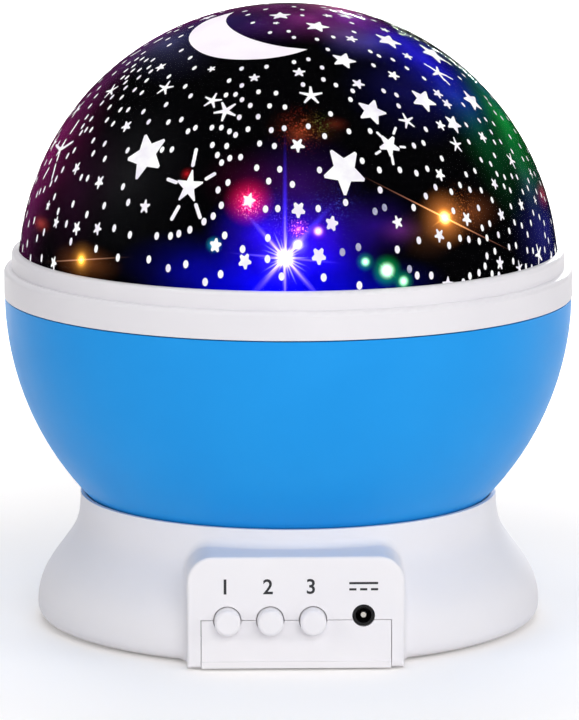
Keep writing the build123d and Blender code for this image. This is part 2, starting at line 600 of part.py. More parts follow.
def inner_deck():
    """White disc that closes the bowl round the LED column."""
    top = INNER_DECK_TOP
    deck = disc(INNER_DECK_RADIUS, INNER_DECK_BOTTOM, top)
    deck += disc(INNER_DECK_HOLE + INNER_DECK_LIP, INNER_DECK_BOTTOM, top + INNER_DECK_LIP)
    deck -= disc(INNER_DECK_HOLE, INNER_DECK_BOTTOM - 1, top + INNER_DECK_LIP + 1)
    for angle in DECK_SCREW_ANGLES:
        x, y = polar(DECK_POST_CIRCLE, angle)
        deck -= disc(SCREW_SHANK_RADIUS + SCREW_PLAY, INNER_DECK_BOTTOM - 1, top + 1, x, y)
    return deck


def deck_screws():
    piece = screw(DECK_SCREW_LENGTH)
    return group(ring_of(piece, DECK_POST_CIRCLE, DECK_SCREW_ANGLES, INNER_DECK_TOP))


# ---------------------------------------------------------------- base
def base_shell():
    mouth = COVER_RADIUS + COVER_PLAY
    ledge = mouth - COVER_LEDGE
    body = turned(
        Line((0, UNDERSIDE), (FOOT_BOTTOM_RADIUS, UNDERSIDE)),
        Spline((FOOT_BOTTOM_RADIUS, UNDERSIDE), (FOOT_RADIUS, FOOT_HEIGHT),
               tangents=((1, 0.12), (0, 1))),
        Spline((FOOT_RADIUS, FOOT_HEIGHT), FLARE_SHOULDER, FLARE_HOLLOW, (RIM_RADIUS, RIM_TOP),
               tangents=((0, 1), (-0.03, 1))),
        Polyline((RIM_RADIUS, RIM_TOP), (0, RIM_TOP), (0, UNDERSIDE)),
    )
    body = joined_softly(body, panel_boss(), PANEL_ROOT_FILLET)
    body -= turned(Polyline(
        (0, UNDERSIDE - 5), (mouth, UNDERSIDE - 5), (mouth, COVER_TOP), (ledge, COVER_TOP),
        (ledge, INNER_WALL_BEND_Z), (INNER_WALL_TOP_RADIUS, DECK_BOTTOM), (0, DECK_BOTTOM),
        close=True))
    body -= turned(Polyline(
        (0, DECK_TOP), (RIM_INNER - BASE_WALL / 2, DECK_TOP), (RIM_INNER, RIM_TOP),
        (RIM_INNER, RIM_TOP + 5), (0, RIM_TOP + 5), close=True))
    body += disc(SEAT_OUTER, DECK_TOP - 0.5, SEAT_TOP)

    left, right = PANEL_LEFT + BASE_WALL, PANEL_RIGHT - BASE_WALL
    body -= block(left, right, PANEL_INNER, PANEL_BACK, UNDERSIDE - 1, DECK_BOTTOM)
    body -= block(left, right, PANEL_INNER, PANEL_VOID_BACK, UNDERSIDE - 1, PANEL_TOP - BASE_WALL)
    body -= block(TAB_LEFT, TAB_RIGHT, PANEL_FRONT - 5, -mouth + 3, UNDERSIDE - 1, TAB_TOP)
    for x in BUTTON_X:
        body -= rod(BUTTON_RADIUS + BUTTON_GAP, PANEL_FRONT - 1, PANEL_INNER + 1, x, BUTTON_Z)
    body -= rod(JACK_NOSE_RADIUS + JACK_HOLE_GAP, PANEL_FRONT - 1, PANEL_INNER + 1, JACK_X, JACK_Z)

    pilot = SCREW_SHANK_RADIUS + SCREW_BITE
    for x in BOARD_SCREW_X:
        body += rod(BOARD_POST_RADIUS, PANEL_INNER - 0.5, BOARD_FRONT, x, BOARD_SCREW_Z)
        body -= rod(pilot, BOARD_BACK - BOARD_SCREW_LENGTH - 0.2, BOARD_FRONT + 1, x, BOARD_SCREW_Z)
    for angle in COVER_SCREW_ANGLES:
        x, y = polar(COVER_SCREW_CIRCLE, angle)
        body += disc(BOSS_RADIUS, COVER_WELL_TOP + BOSS_GAP, DECK_BOTTOM + 0.5, x, y)
        body -= disc(pilot, COVER_WELL_TOP, COVER_WELL_SEAT + COVER_SCREW_LENGTH + 1, x, y)
    body -= disc(POST_RADIUS + POST_HOLE_GAP, DECK_BOTTOM - 1, SEAT_TOP + 1)
    for angle in THIRDS:
        x, y = polar(POST_SCREW_CIRCLE, angle)
        body -= disc(pilot, DECK_BOTTOM - 1, SEAT_TOP - 0.4, x, y)
    return body


def joined_softly(first, second, radius):
    """Two solids in one, with a fillet along the lines where their faces meet."""
    whole = first + second
    seams = [edge for edge in new_edges(first, second, combined=whole)
             if edge.center().Z > UNDERSIDE + 0.1]
    return fillet(seams, radius)


def panel_boss():
    """Raised front panel with rounded top corners and a soft front edge."""
    outline = make_face(Curve() + [
        Line((PANEL_LEFT, UNDERSIDE), (PANEL_RIGHT, UNDERSIDE)),
        Line((PANEL_RIGHT, UNDERSIDE), (PANEL_RIGHT, PANEL_TOP - PANEL_CORNER)),
        CenterArc((PANEL_RIGHT - PANEL_CORNER, PANEL_TOP - PANEL_CORNER), PANEL_CORNER, 0, 90),
        Line((PANEL_RIGHT - PANEL_CORNER, PANEL_TOP), (PANEL_LEFT + PANEL_CORNER, PANEL_TOP)),
        CenterArc((PANEL_LEFT + PANEL_CORNER, PANEL_TOP - PANEL_CORNER), PANEL_CORNER, 90, 90),
        Line((PANEL_LEFT, PANEL_TOP - PANEL_CORNER), (PANEL_LEFT, UNDERSIDE)),
    ])
    back = Plane(origin=(0, PANEL_BACK, 0), x_dir=(1, 0, 0), z_dir=(0, -1, 0))
    boss = extrude(back * outline, PANEL_BACK - PANEL_FRONT)
    front_edges = boss.faces().sort_by(Axis.Y)[0].edges()
    return fillet(front_edges, PANEL_EDGE)


def bottom_cover():
    """Cover with the battery box, the screw wells and the panel's lower half."""
    cover = disc(COVER_RADIUS, UNDERSIDE, COVER_TOP)
    left, right = TAB_LEFT + TAB_SEAM, TAB_RIGHT - TAB_SEAM
    cover += block(left, right, PANEL_FRONT, BOARD_FRONT, UNDERSIDE, COVER_TOP)
    cover += block(left, right, PANEL_FRONT, PANEL_INNER, UNDERSIDE, TAB_TOP - TAB_SEAM)
    cover += block(left, right, PANEL_FRONT - TAB_LIP_PROUD, PANEL_FRONT + 1, UNDERSIDE, TAB_LIP_TOP)
    for x in BUTTON_X:
        cover -= rod(BUTTON_RADIUS + BUTTON_GAP, PANEL_FRONT - 1, PANEL_INNER + 1, x, BUTTON_Z)
    cover -= rod(JACK_NOSE_RADIUS + JACK_HOLE_GAP, PANEL_FRONT - 1, PANEL_INNER + 1, JACK_X, JACK_Z)

    wide = BOX_HALF_X + BOX_WALL
    cover += block(-wide, wide, BOX_FRONT - BOX_WALL, BOX_BACK + BOX_WALL, UNDERSIDE, BOX_TOP)
    cover -= block(-BOX_HALF_X, BOX_HALF_X, BOX_FRONT, BOX_BACK, UNDERSIDE - 1, BOX_TOP - BOX_WALL)
    pin_hole = Pos(0, DOOR_HINGE_Y, DOOR_HINGE_Z) * Rot(0, 90, 0) * Cylinder(
        DOOR_PIN_RADIUS + DOOR_PIN_FIT, 2 * (BOX_HALF_X + DOOR_PIN_LENGTH + 0.2))
    cover -= pin_hole
    for x in (CELL_X[0], CELL_X[-1]):
        cover -= rod(LEAD_RADIUS + 0.2, BOX_FRONT - BOX_WALL - 1, BOX_FRONT + 1, x, CELL_Z)

    for angle in COVER_SCREW_ANGLES:
        x, y = polar(COVER_SCREW_CIRCLE, angle)
        cover += disc(COVER_WELL_RADIUS, UNDERSIDE, COVER_WELL_TOP, x, y)
        cover -= disc(COVER_WELL_RADIUS - COVER_WELL_WALL, UNDERSIDE - 1, COVER_WELL_SEAT, x, y)
        cover -= disc(SCREW_SHANK_RADIUS + SCREW_PLAY, UNDERSIDE, COVER_WELL_TOP + 1, x, y)
    for angle in FOOT_PAD_ANGLES:
        x, y = polar(FOOT_PAD_CIRCLE, angle)
        cover -= disc(FOOT_PAD_RADIUS + 0.1, UNDERSIDE - 1, UNDERSIDE + FOOT_PAD_RECESS, x, y)
    return cover


def cover_screws():
    piece = Rot(180, 0, 0) * screw(COVER_SCREW_LENGTH)
    return group(ring_of(piece, COVER_SCREW_CIRCLE, COVER_SCREW_ANGLES, COVER_WELL_SEAT))


def rubber_feet():
    pad = disc(FOOT_PAD_RADIUS, 0, UNDERSIDE + FOOT_PAD_RECESS)
    pad = fillet(pad.edges().group_by(Axis.Z)[0], UNDERSIDE * 0.6)
    return group(ring_of(pad, FOOT_PAD_CIRCLE, FOOT_PAD_ANGLES, 0))


# ---------------------------------------------------------------- batteries
def battery_cell(index):
    """One AAA cell; neighbouring cells lie opposite ways."""
    way = 1 if index % 2 == 0 else -1
    nub_end = BOX_CENTRE_Y + way * (BOX_HALF_Y - CONTACT_THICKNESS - CONTACT_PLAY)
    can_end = nub_end - way * CELL_NUB_LENGTH
    flat_end = nub_end - way * CELL_LENGTH
    x = CELL_X[index]
    can = rod(CELL_RADIUS, min(can_end, flat_end), max(can_end, flat_end), x, CELL_Z)
    can = fillet(can.edges().filter_by(GeomType.CIRCLE), CELL_EDGE)
    inside = can_end - way * CELL_EDGE
    return can + rod(CELL_NUB_RADIUS, min(inside, nub_end), max(inside, nub_end), x, CELL_Z)


def contact_plates():
    """Spring steel plates that join the four cells in a row."""
    pairs = {BOX_BACK - CONTACT_THICKNESS: [(0, 1), (2, 3)], BOX_FRONT: [(0, 0), (1, 2), (3, 3)]}
    plates = []
    for y, spans in pairs.items():
        for first, last in spans:
            plates.append(block(
                CELL_X[first] - CONTACT_HALF_WIDTH, CELL_X[last] + CONTACT_HALF_WIDTH,
                y, y + CONTACT_THICKNESS,
                CELL_Z - CONTACT_HALF_HEIGHT, CELL_Z + CONTACT_HALF_HEIGHT))
    return group(plates)


def battery_springs():
    """Cone springs at the flat end of each cell."""
    room = 2 * BOX_HALF_Y - 2 * CONTACT_THICKNESS - CELL_LENGTH - CONTACT_PLAY
    height = room - SPRING_WIRE - CONTACT_PLAY
    slope = degrees(atan2(SPRING_SMALL_RADIUS - SPRING_BIG_RADIUS, height))
    coil = Helix(height / SPRING_TURNS, height, SPRING_BIG_RADIUS, cone_angle=slope)
    section = Plane(origin=coil @ 0, z_dir=coil % 0) * Circle(SPRING_WIRE / 2)
    spring = sweep(section, path=coil, is_frenet=True)
    springs = []
    for index in range(CELL_COUNT):
        way = 1 if index % 2 == 0 else -1
        plate = BOX_CENTRE_Y - way * (BOX_HALF_Y - CONTACT_THICKNESS)
        place = Pos(CELL_X[index], plate + way * SPRING_WIRE / 2, CELL_Z) * Rot(-90 * way, 0, 0)
        springs.append(place * spring)
    return group(springs)


def battery_door():
    """Door that turns on two short pins along its back edge."""
    half = BOX_HALF_X - DOOR_GAP
    front = BOX_FRONT + DOOR_GAP
    door = block(-half, half, front, DOOR_HINGE_Y, DOOR_BOTTOM, DOOR_BOTTOM + DOOR_THICKNESS)
    across = Pos(0, DOOR_HINGE_Y, DOOR_HINGE_Z) * Rot(0, 90, 0)
    door += across * Cylinder(DOOR_BEAD_RADIUS, 2 * half)
    door += across * Cylinder(DOOR_PIN_RADIUS, 2 * (BOX_HALF_X + DOOR_PIN_LENGTH))
    return door - Pos(0, front + DOOR_GRIP_RADIUS - DOOR_GRIP_DEPTH, DOOR_BOTTOM - DOOR_GRIP_RADIUS
                      ) * Sphere(DOOR_GRIP_RADIUS + DOOR_GRIP_DEPTH)


# ---------------------------------------------------------------- controls
def button(x):
    """Push button cap: domed face, flange behind the panel and a stem."""
    flange_front = PANEL_INNER + FLANGE_GAP
    cap = rod(BUTTON_RADIUS, PANEL_FRONT - BUTTON_PROUD, flange_front + 0.2, x, BUTTON_Z)
    cap = fillet(cap.edges().group_by(Axis.Y)[0], BUTTON_EDGE)
    flange_back = flange_front + BUTTON_FLANGE_THICKNESS
    cap += rod(BUTTON_FLANGE_RADIUS, flange_front, flange_back, x, BUTTON_Z)
    return cap + rod(BUTTON_STEM_RADIUS, flange_back - 0.2, PLUNGER_FRONT, x, BUTTON_Z)


def switch_plunger(x):
    return rod(PLUNGER_RADIUS, PLUNGER_FRONT, SWITCH_FRONT + PLUNGER_SUNK, x, BUTTON_Z)


def switch_body(x):
    half = SWITCH_SIDE / 2
    body = block(x - half, x + half, SWITCH_FRONT, BOARD_FRONT, BUTTON_Z - half, BUTTON_Z + half)
    bore_end = SWITCH_FRONT + PLUNGER_SUNK + BUTTON_TRAVEL + 0.2
    return body - rod(PLUNGER_RADIUS + PLUNGER_FIT, SWITCH_FRONT - 1, bore_end, x, BUTTON_Z)


def dc_jack():
    """Round inlet: nose in the panel hole, square body on the board."""
    nose_front = PANEL_FRONT + JACK_SET_BACK
    body = rod(JACK_NOSE_RADIUS, nose_front, PANEL_INNER + 1, JACK_X, JACK_Z)
    half = JACK_BODY_HALF
    body += block(JACK_X - half, JACK_X + half, PANEL_INNER + 0.2, BOARD_FRONT,
                  JACK_Z - half, JACK_Z + half)
    return body - rod(JACK_BORE_RADIUS, nose_front - 1, nose_front + JACK_BORE_DEPTH, JACK_X, JACK_Z)


def dc_jack_pin():
    front = PANEL_FRONT + JACK_SET_BACK + JACK_PIN_SET_BACK
    back = PANEL_FRONT + JACK_SET_BACK + JACK_BORE_DEPTH
    return rod(JACK_PIN_RADIUS, front, back, JACK_X, JACK_Z)


def main_board():
    board = block(BOARD_LEFT, BOARD_RIGHT, BOARD_FRONT, BOARD_BACK, BOARD_BOTTOM, BOARD_TOP)
    for x in BOARD_SCREW_X:
        board -= rod(SCREW_SHANK_RADIUS + SCREW_PLAY, BOARD_FRONT - 1, BOARD_BACK + 1, x,
                     BOARD_SCREW_Z)
    return board


def board_screws():
    piece = Rot(-90, 0, 0) * screw(BOARD_SCREW_LENGTH)
    return group(Pos(x, BOARD_BACK, BOARD_SCREW_Z) * piece for x in BOARD_SCREW_X)


def control_chip():
    return block(CHIP_X - CHIP_WIDTH / 2, CHIP_X + CHIP_WIDTH / 2,
                 BOARD_BACK, BOARD_BACK + CHIP_THICKNESS,
                 PARTS_Z - CHIP_HEIGHT / 2, PARTS_Z + CHIP_HEIGHT / 2)


def smoothing_capacitor():
    can = rod(CAPACITOR_RADIUS, BOARD_BACK, BOARD_BACK + CAPACITOR_LENGTH, CAPACITOR_X, PARTS_Z)
    return fillet(can.edges().group_by(Axis.Y)[-1], CAPACITOR_EDGE)


# ---------------------------------------------------------------- bearing
def centre_post():
    flange_bottom = POST_FLANGE_BOTTOM
    groove_bottom = HUB_TOP + CLIP_PLAY
    post = disc(POST_RADIUS, flange_bottom, POST_TOP)
    post += disc(POST_FLANGE_RADIUS, flange_bottom, DECK_BOTTOM)
    groove_top = groove_bottom + CLIP_THICKNESS + 0.1
    post -= disc(POST_RADIUS + 1, groove_bottom, groove_top) - disc(
        CLIP_GROOVE, groove_bottom, groove_top)
    post -= disc(POST_BORE, flange_bottom - 1, POST_TOP + 1)
    for angle in THIRDS:
        x, y = polar(POST_SCREW_CIRCLE, angle)
        post -= disc(SCREW_SHANK_RADIUS + SCREW_PLAY, flange_bottom - 1, DECK_BOTTOM + 1, x, y)
        x, y = polar(PLATE_SCREW_CIRCLE, angle)
        post -= disc(PLATE_SCREW_SHANK + SCREW_BITE, POST_TOP - PLATE_SCREW_LENGTH, POST_TOP + 1, x, y)
    return post


def post_screws():
    length = SEAT_TOP - 0.6 - POST_FLANGE_BOTTOM
    piece = Rot(180, 0, 0) * screw(length)
    return group(ring_of(piece, POST_SCREW_CIRCLE, THIRDS, POST_FLANGE_BOTTOM))


def thrust_washer():
    bore = POST_RADIUS + 0.3
    return disc(WASHER_OUTER, SEAT_TOP, BOWL_FLOOR - WASHER_PLAY) - disc(bore, 0, BOWL_FLOOR)


def retaining_clip():
    bottom = HUB_TOP + CLIP_PLAY
    top = bottom + CLIP_THICKNESS
    clip = disc(CLIP_OUTER, bottom, top) - disc(CLIP_GROOVE + 0.05, bottom - 1, top + 1)
    half = CLIP_OPENING / 2
    return clip - block(-half, half, -CLIP_OUTER - 1, 0, bottom - 1, top + 1)


# ---------------------------------------------------------------- drive
def motor_plate():
    plate = disc(MOTOR_PLATE_RADIUS, POST_TOP, PLATE_TOP)
    plate -= disc(POST_BORE, POST_TOP - 1, PLATE_TOP + 1)
    for angle in (0, 180, 270):
        x, y = polar(PLATE_WINDOW_CIRCLE, angle)
        plate -= disc(PLATE_WINDOW_RADIUS, POST_TOP - 1, PLATE_TOP + 1, x, y)
    plate -= disc(SHAFT_RADIUS * 2, POST_TOP - 1, PLATE_TOP + 1, 0, MOTOR_Y)
    for x in (-MOTOR_SCREW_X, MOTOR_SCREW_X):
        plate -= disc(MOTOR_SCREW_SHANK + SCREW_PLAY, POST_TOP - 1, PLATE_TOP + 1, x, MOTOR_Y)
    for angle in THIRDS:
        x, y = polar(PLATE_SCREW_CIRCLE, angle)
        plate -= disc(PLATE_SCREW_SHANK + SCREW_PLAY, POST_TOP - 1, PLATE_TOP + 1, x, y)
        x, y = polar(COLUMN_SCREW_CIRCLE, angle)
        plate -= disc(SCREW_SHANK_RADIUS + SCREW_BITE, POST_TOP - 1, PLATE_TOP + 1, x, y)
    return plate


def plate_screws():
    piece = screw(PLATE_SCREW_LENGTH, PLATE_SCREW_HEAD, PLATE_SCREW_SHANK)
    return group(ring_of(piece, PLATE_SCREW_CIRCLE, THIRDS, PLATE_TOP))


def gearbox_case():
    half_x, half_y = MOTOR_WIDTH / 2, MOTOR_DEPTH / 2
    case = block(-half_x, half_x, MOTOR_Y - half_y, MOTOR_Y + half_y, PLATE_TOP, GEARBOX_TOP)
    case = chamfer(case.edges().filter_by(Axis.Z), GEARBOX_EDGE)
    case -= disc(SHAFT_RADIUS + SHAFT_FIT, PLATE_TOP - 1, SHAFT_TOP + 0.5, 0, MOTOR_Y)
    for x in (-MOTOR_SCREW_X, MOTOR_SCREW_X):
        case -= disc(MOTOR_SCREW_SHANK + SCREW_BITE, PLATE_TOP - 1,
                     POST_TOP + MOTOR_SCREW_LENGTH + 0.2, x, MOTOR_Y)
    return case


def motor_can():
    can = disc(MOTOR_WIDTH / 2, GEARBOX_TOP, MOTOR_TOP, 0, MOTOR_Y)
    deep = MOTOR_DEPTH / 2
    return can & block(-MOTOR_WIDTH, MOTOR_WIDTH, MOTOR_Y - deep, MOTOR_Y + deep,
                       GEARBOX_TOP, MOTOR_TOP)


def motor_end_cap():
    cap = disc(MOTOR_WIDTH / 2 - END_CAP_INSET, MOTOR_TOP, END_CAP_TOP, 0, MOTOR_Y)
    deep = MOTOR_DEPTH / 2 - END_CAP_INSET
    return cap & block(-MOTOR_WIDTH, MOTOR_WIDTH, MOTOR_Y - deep, MOTOR_Y + deep,
                       MOTOR_TOP, END_CAP_TOP)


def motor_terminals():
    top = END_CAP_TOP + TERMINAL_HEIGHT
    thick, wide = TERMINAL_THICKNESS / 2, TERMINAL_WIDTH / 2
    tabs = [block(x - thick, x + thick, MOTOR_Y - wide, MOTOR_Y + wide, END_CAP_TOP, top)
            for x in (-TERMINAL_X, TERMINAL_X)]
    return group(tabs)


def motor_screws():
    piece = Rot(180, 0, 0) * screw(MOTOR_SCREW_LENGTH, MOTOR_SCREW_HEAD, MOTOR_SCREW_SHANK)
    return group(Pos(x, MOTOR_Y, POST_TOP) * piece for x in (-MOTOR_SCREW_X, MOTOR_SCREW_X))


def motor_shaft():
    return disc(SHAFT_RADIUS, GEAR_BOTTOM - PINION_OVERLAP, SHAFT_TOP, 0, MOTOR_Y)


def drive_pinion():
    """Pinion with a tooth gap facing the turntable gear's tooth."""
    bottom = GEAR_BOTTOM - PINION_OVERLAP
    top = GEAR_TOP + PINION_OVERLAP
    face = gear_face(PINION_TEETH, -90 + 180 / PINION_TEETH)
    pinion = Pos(0, MOTOR_Y, bottom) * extrude(face, top - bottom)
    pinion += disc(PINION_HUB_RADIUS, top - 0.2, PINION_HUB_TOP, 0, MOTOR_Y)
    return pinion - disc(SHAFT_RADIUS, bottom - 1, PINION_HUB_TOP + 1, 0, MOTOR_Y)


# ---------------------------------------------------------------- lamps
def led_column():
    """Hollow column that lifts the LED board to the dome's centre."""
    flange_top = PLATE_TOP + COLUMN_FLANGE_THICKNESS
    column = disc(COLUMN_FLANGE, PLATE_TOP, flange_top)
    column += disc(COLUMN_OUTER, PLATE_TOP, LED_BOARD_BOTTOM)
    column -= disc(COLUMN_INNER, PLATE_TOP - 1, LED_BOARD_BOTTOM - COLUMN_HEAD)
    column -= disc(POST_BORE, PLATE_TOP, LED_BOARD_BOTTOM + 1)
    column -= block(-COLUMN_WINDOW_HALF, COLUMN_WINDOW_HALF, 0, COLUMN_OUTER + 1,
                    COLUMN_WINDOW_BOTTOM, COLUMN_WINDOW_TOP)
    for angle in THIRDS:
        x, y = polar(COLUMN_SCREW_CIRCLE, angle)
        column -= disc(SCREW_SHANK_RADIUS + SCREW_PLAY, PLATE_TOP - 1, flange_top + 1, x, y)
    for x in (-LED_BOARD_SCREW_X, LED_BOARD_SCREW_X):
        column -= disc(SCREW_SHANK_RADIUS + SCREW_BITE, LED_BOARD_BOTTOM - COLUMN_HEAD - 1,
                       LED_BOARD_BOTTOM + 1, x)
    return column


def column_screws():
    top = PLATE_TOP + COLUMN_FLANGE_THICKNESS
    return group(ring_of(screw(COLUMN_FLANGE_THICKNESS + 1.8), COLUMN_SCREW_CIRCLE, THIRDS, top))


def led_board():
    board = disc(LED_BOARD_RADIUS, LED_BOARD_BOTTOM, LED_BOARD_TOP)
    for x in (-LED_BOARD_SCREW_X, LED_BOARD_SCREW_X):
        board -= disc(SCREW_SHANK_RADIUS + SCREW_PLAY, LED_BOARD_BOTTOM - 1, LED_BOARD_TOP + 1, x)
    return board


def led_board_screws():
    piece = screw(LED_BOARD_THICKNESS + COLUMN_HEAD - 0.3, head=LED_BOARD_SCREW_HEAD)
    return group(Pos(x, 0, LED_BOARD_TOP) * piece for x in (-LED_BOARD_SCREW_X, LED_BOARD_SCREW_X))


def led(angle):
    """Round LED: flat rim and domed lens."""
    x, y = polar(LED_CIRCLE_RADIUS, angle)
    straight = LED_BOARD_TOP + LED_HEIGHT - LED_RADIUS
    lens = disc(LED_RADIUS, LED_BOARD_TOP, straight, x, y) + Pos(x, y, straight) * Sphere(LED_RADIUS)
    return lens + disc(LED_RADIUS + LED_RIM, LED_BOARD_TOP, LED_BOARD_TOP + LED_RIM_HEIGHT, x, y)


# ---------------------------------------------------------------- leads
def battery_leads():
    leads = []
    for x in (CELL_X[0], CELL_X[-1]):
        leads.append(wire([
            (x, BOX_FRONT, CELL_Z), (x, BOX_FRONT - LEAD_STUB, CELL_Z),
            (x, BOARD_BACK + LEAD_STUB, CELL_Z + LEAD_RISE), (x, BOARD_BACK, CELL_Z + LEAD_RISE)]))
    return group(leads)


def led_leads():
    leads = []
    for x in LED_LEAD_X:
        leads.append(wire([(x, BOARD_BACK, LED_LEAD_Z), (x, LED_LEAD_Y, LED_LEAD_Z),
                           (x, LED_LEAD_Y, LED_BOARD_BOTTOM)]))
    return group(leads)


def motor_leads():
    entry = COLUMN_WINDOW_TOP - LEAD_BEND
    leads = []
    for x in (-MOTOR_LEAD_X, MOTOR_LEAD_X):
        leads.append(wire([
            (x, BOARD_BACK, MOTOR_LEAD_Z), (x, MOTOR_LEAD_Y, MOTOR_LEAD_Z),
            (x, MOTOR_LEAD_Y, entry - 2 * LEAD_BEND), (x, MOTOR_LEAD_TURN_Y, entry),
            (x, MOTOR_Y - TERMINAL_WIDTH / 2, END_CAP_TOP + TERMINAL_HEIGHT / 2)]))
    return group(leads)


# ---------------------------------------------------------------- all nodes
def all_parts():
    parts = {
        "dome_cover": dome_cover(),
        "star_film": star_film(),
        "collar_ring": collar_ring(),
        "bowl": bowl(),
        "turntable_gear": turntable_gear(),
        "gear_screws": gear_screws(),
        "inner_deck": inner_deck(),
        "deck_screws": deck_screws(),
        "base_shell": base_shell(),
        "bottom_cover": bottom_cover(),
        "cover_screws": cover_screws(),
        "rubber_feet": rubber_feet(),
        "battery_door": battery_door(),
        "contact_plates": contact_plates(),
        "battery_springs": battery_springs(),
        "main_board": main_board(),
        "board_screws": board_screws(),
        "control_chip": control_chip(),
        "smoothing_capacitor": smoothing_capacitor(),
        "dc_jack": dc_jack(),
        "dc_jack_pin": dc_jack_pin(),
        "centre_post": centre_post(),
        "post_screws": post_screws(),
        "thrust_washer": thrust_washer(),
        "retaining_clip": retaining_clip(),
        "motor_plate": motor_plate(),
        "plate_screws": plate_screws(),
        "gearbox_case": gearbox_case(),
        "motor_can": motor_can(),
        "motor_end_cap": motor_end_cap(),
        "motor_terminals": motor_terminals(),
        "motor_screws": motor_screws(),
        "motor_shaft": motor_shaft(),
        "drive_pinion": drive_pinion(),
        "led_column": led_column(),
        "column_screws": column_screws(),
        "led_board": led_board(),
        "led_board_screws": led_board_screws(),
        "battery_leads": battery_leads(),
        "motor_leads": motor_leads(),
        "led_leads": led_leads(),
    }
    for index in range(CELL_COUNT):
        parts[f"battery_cell_{index + 1}"] = battery_cell(index)
    for number, x in enumerate(BUTTON_X, start=1):
        parts[f"button_{number}"] = button(x)
        parts[f"switch_plunger_{number}"] = switch_plunger(x)
        parts[f"switch_body_{number}"] = switch_body(x)
    for number, name in enumerate(("red", "green", "blue", "white")):
        parts[f"led_{name}"] = led(45 + 90 * number)
    return parts


os.makedirs("parts", exist_ok=True)
for name, shape in all_parts().items():
    export_step(shape, f"parts/{name}.step")
    print(name, len(shape.solids()), "solids")
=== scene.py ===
# %% [markdown]
# # Star night light projector
# A lamp for a child's room: a ball that turns on a white base. The upper half of the ball is a clear
# dome over a black printed film, and coloured lamps shine through the stars in the print. The frame
# below holds every part at its real size, in metres, with Z up and the button panel facing -Y.
# This file gives those parts their finish, and adds the prints, which are too thin for the frame.

# %% Load the frame
import json
import random
from math import atan2, cos, hypot, pi, radians, sin, sqrt

import bmesh
import bpy
from mathutils import Matrix, Vector


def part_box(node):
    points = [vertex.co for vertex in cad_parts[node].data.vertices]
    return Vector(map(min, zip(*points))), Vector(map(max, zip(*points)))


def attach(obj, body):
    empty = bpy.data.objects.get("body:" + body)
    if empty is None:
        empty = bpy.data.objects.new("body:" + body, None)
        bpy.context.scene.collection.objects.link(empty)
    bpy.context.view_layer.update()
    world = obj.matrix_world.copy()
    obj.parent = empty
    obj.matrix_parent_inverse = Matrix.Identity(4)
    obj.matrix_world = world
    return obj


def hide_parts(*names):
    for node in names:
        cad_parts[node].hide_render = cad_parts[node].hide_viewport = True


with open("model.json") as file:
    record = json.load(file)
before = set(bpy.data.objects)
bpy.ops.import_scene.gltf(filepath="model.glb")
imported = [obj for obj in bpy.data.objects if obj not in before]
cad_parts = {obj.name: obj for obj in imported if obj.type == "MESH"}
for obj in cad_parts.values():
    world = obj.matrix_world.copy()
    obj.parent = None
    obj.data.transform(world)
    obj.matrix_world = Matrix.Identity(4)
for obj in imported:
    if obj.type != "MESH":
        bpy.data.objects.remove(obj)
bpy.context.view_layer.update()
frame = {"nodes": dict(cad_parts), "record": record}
nodes = frame["nodes"]
MM = 0.001

# %% [markdown]
# ## Camera
# A product photographer stands well back with a long lens, so that the lamp's lines stay straight.
# The camera is 1.4 m away and looks down by ten degrees, and is turned very slightly to one side.
# Its place comes from that distance, height and turn, so each can be changed by itself.

# %% Camera
DISTANCE = 1388.1 * MM
HEIGHT = 305.99 * MM
PITCH = radians(10.066)
YAW = radians(-1.6)
SIDESTEP = 0.29 * MM
LENS = 307.25
SENSOR = 36
IMAGE = (579, 720)
NEAREST, FURTHEST = 0.05, 50


def put(name, data):
    """Make an object from its data and put it in the scene."""
    made = bpy.data.objects.new(name, data)
    bpy.context.scene.collection.objects.link(made)
    return made


right = Vector((cos(YAW), sin(YAW), 0))
level = Vector((-sin(YAW), cos(YAW), 0))
forward = level * cos(PITCH) - Vector((0, 0, sin(PITCH)))
up = right.cross(forward)

lens = bpy.data.cameras.new("camera")
lens.sensor_width = SENSOR
lens.lens = LENS
lens.clip_start, lens.clip_end = NEAREST, FURTHEST
camera = put("camera", lens)
stand = right * SIDESTEP - level * DISTANCE + Vector((0, 0, HEIGHT))
camera.matrix_world = Matrix.Translation(stand) @ Matrix((right, up, -forward)).transposed().to_4x4()
bpy.context.scene.camera = camera
print("camera", [round(v, 3) for v in camera.location])

# %% [markdown]
# ## Colours and nodes
# Colours are written as they look on a screen. Blender works in linear light, so one function turns
# them over. A second small function adds a node, sets it and joins it, which keeps each material
# short enough to read.

# %% Helpers for materials
def linear(hexcode):
    """A screen colour such as #2A8FE6 as linear RGBA."""
    parts = [int(hexcode[i:i + 2], 16) / 255 for i in (1, 3, 5)]
    return [p / 12.92 if p <= 0.04045 else ((p + 0.055) / 1.055) ** 2.4 for p in parts] + [1.0]


def add(tree, kind, inputs=None, **settings):
    """Add a node. inputs holds plain values, or outputs of other nodes to link from."""
    node = tree.nodes.new(kind)
    for name, value in settings.items():
        setattr(node, name, value)
    for key, value in (inputs or {}).items():
        if isinstance(value, bpy.types.NodeSocket):
            tree.links.new(value, node.inputs[key])
        else:
            node.inputs[key].default_value = value
    return node


def new_material(name):
    """An empty material, its tree and its output node."""
    made = bpy.data.materials.new(name)
    made.use_nodes = True
    made.node_tree.nodes.clear()
    return made, made.node_tree, add(made.node_tree, "ShaderNodeOutputMaterial")


def place_of(tree):
    """Where a point is on the lamp, in metres."""
    return add(tree, "ShaderNodeTexCoord").outputs["Object"]


def noise(tree, place, size_mm, detail=2.0):
    """A noise whose blotches are size_mm across."""
    settings = {"Vector": place, "Scale": 1 / (size_mm * MM), "Detail": detail}
    return add(tree, "ShaderNodeTexNoise", settings).outputs["Fac"]


print("#808080 is", round(linear("#808080")[0], 3), "in linear light")

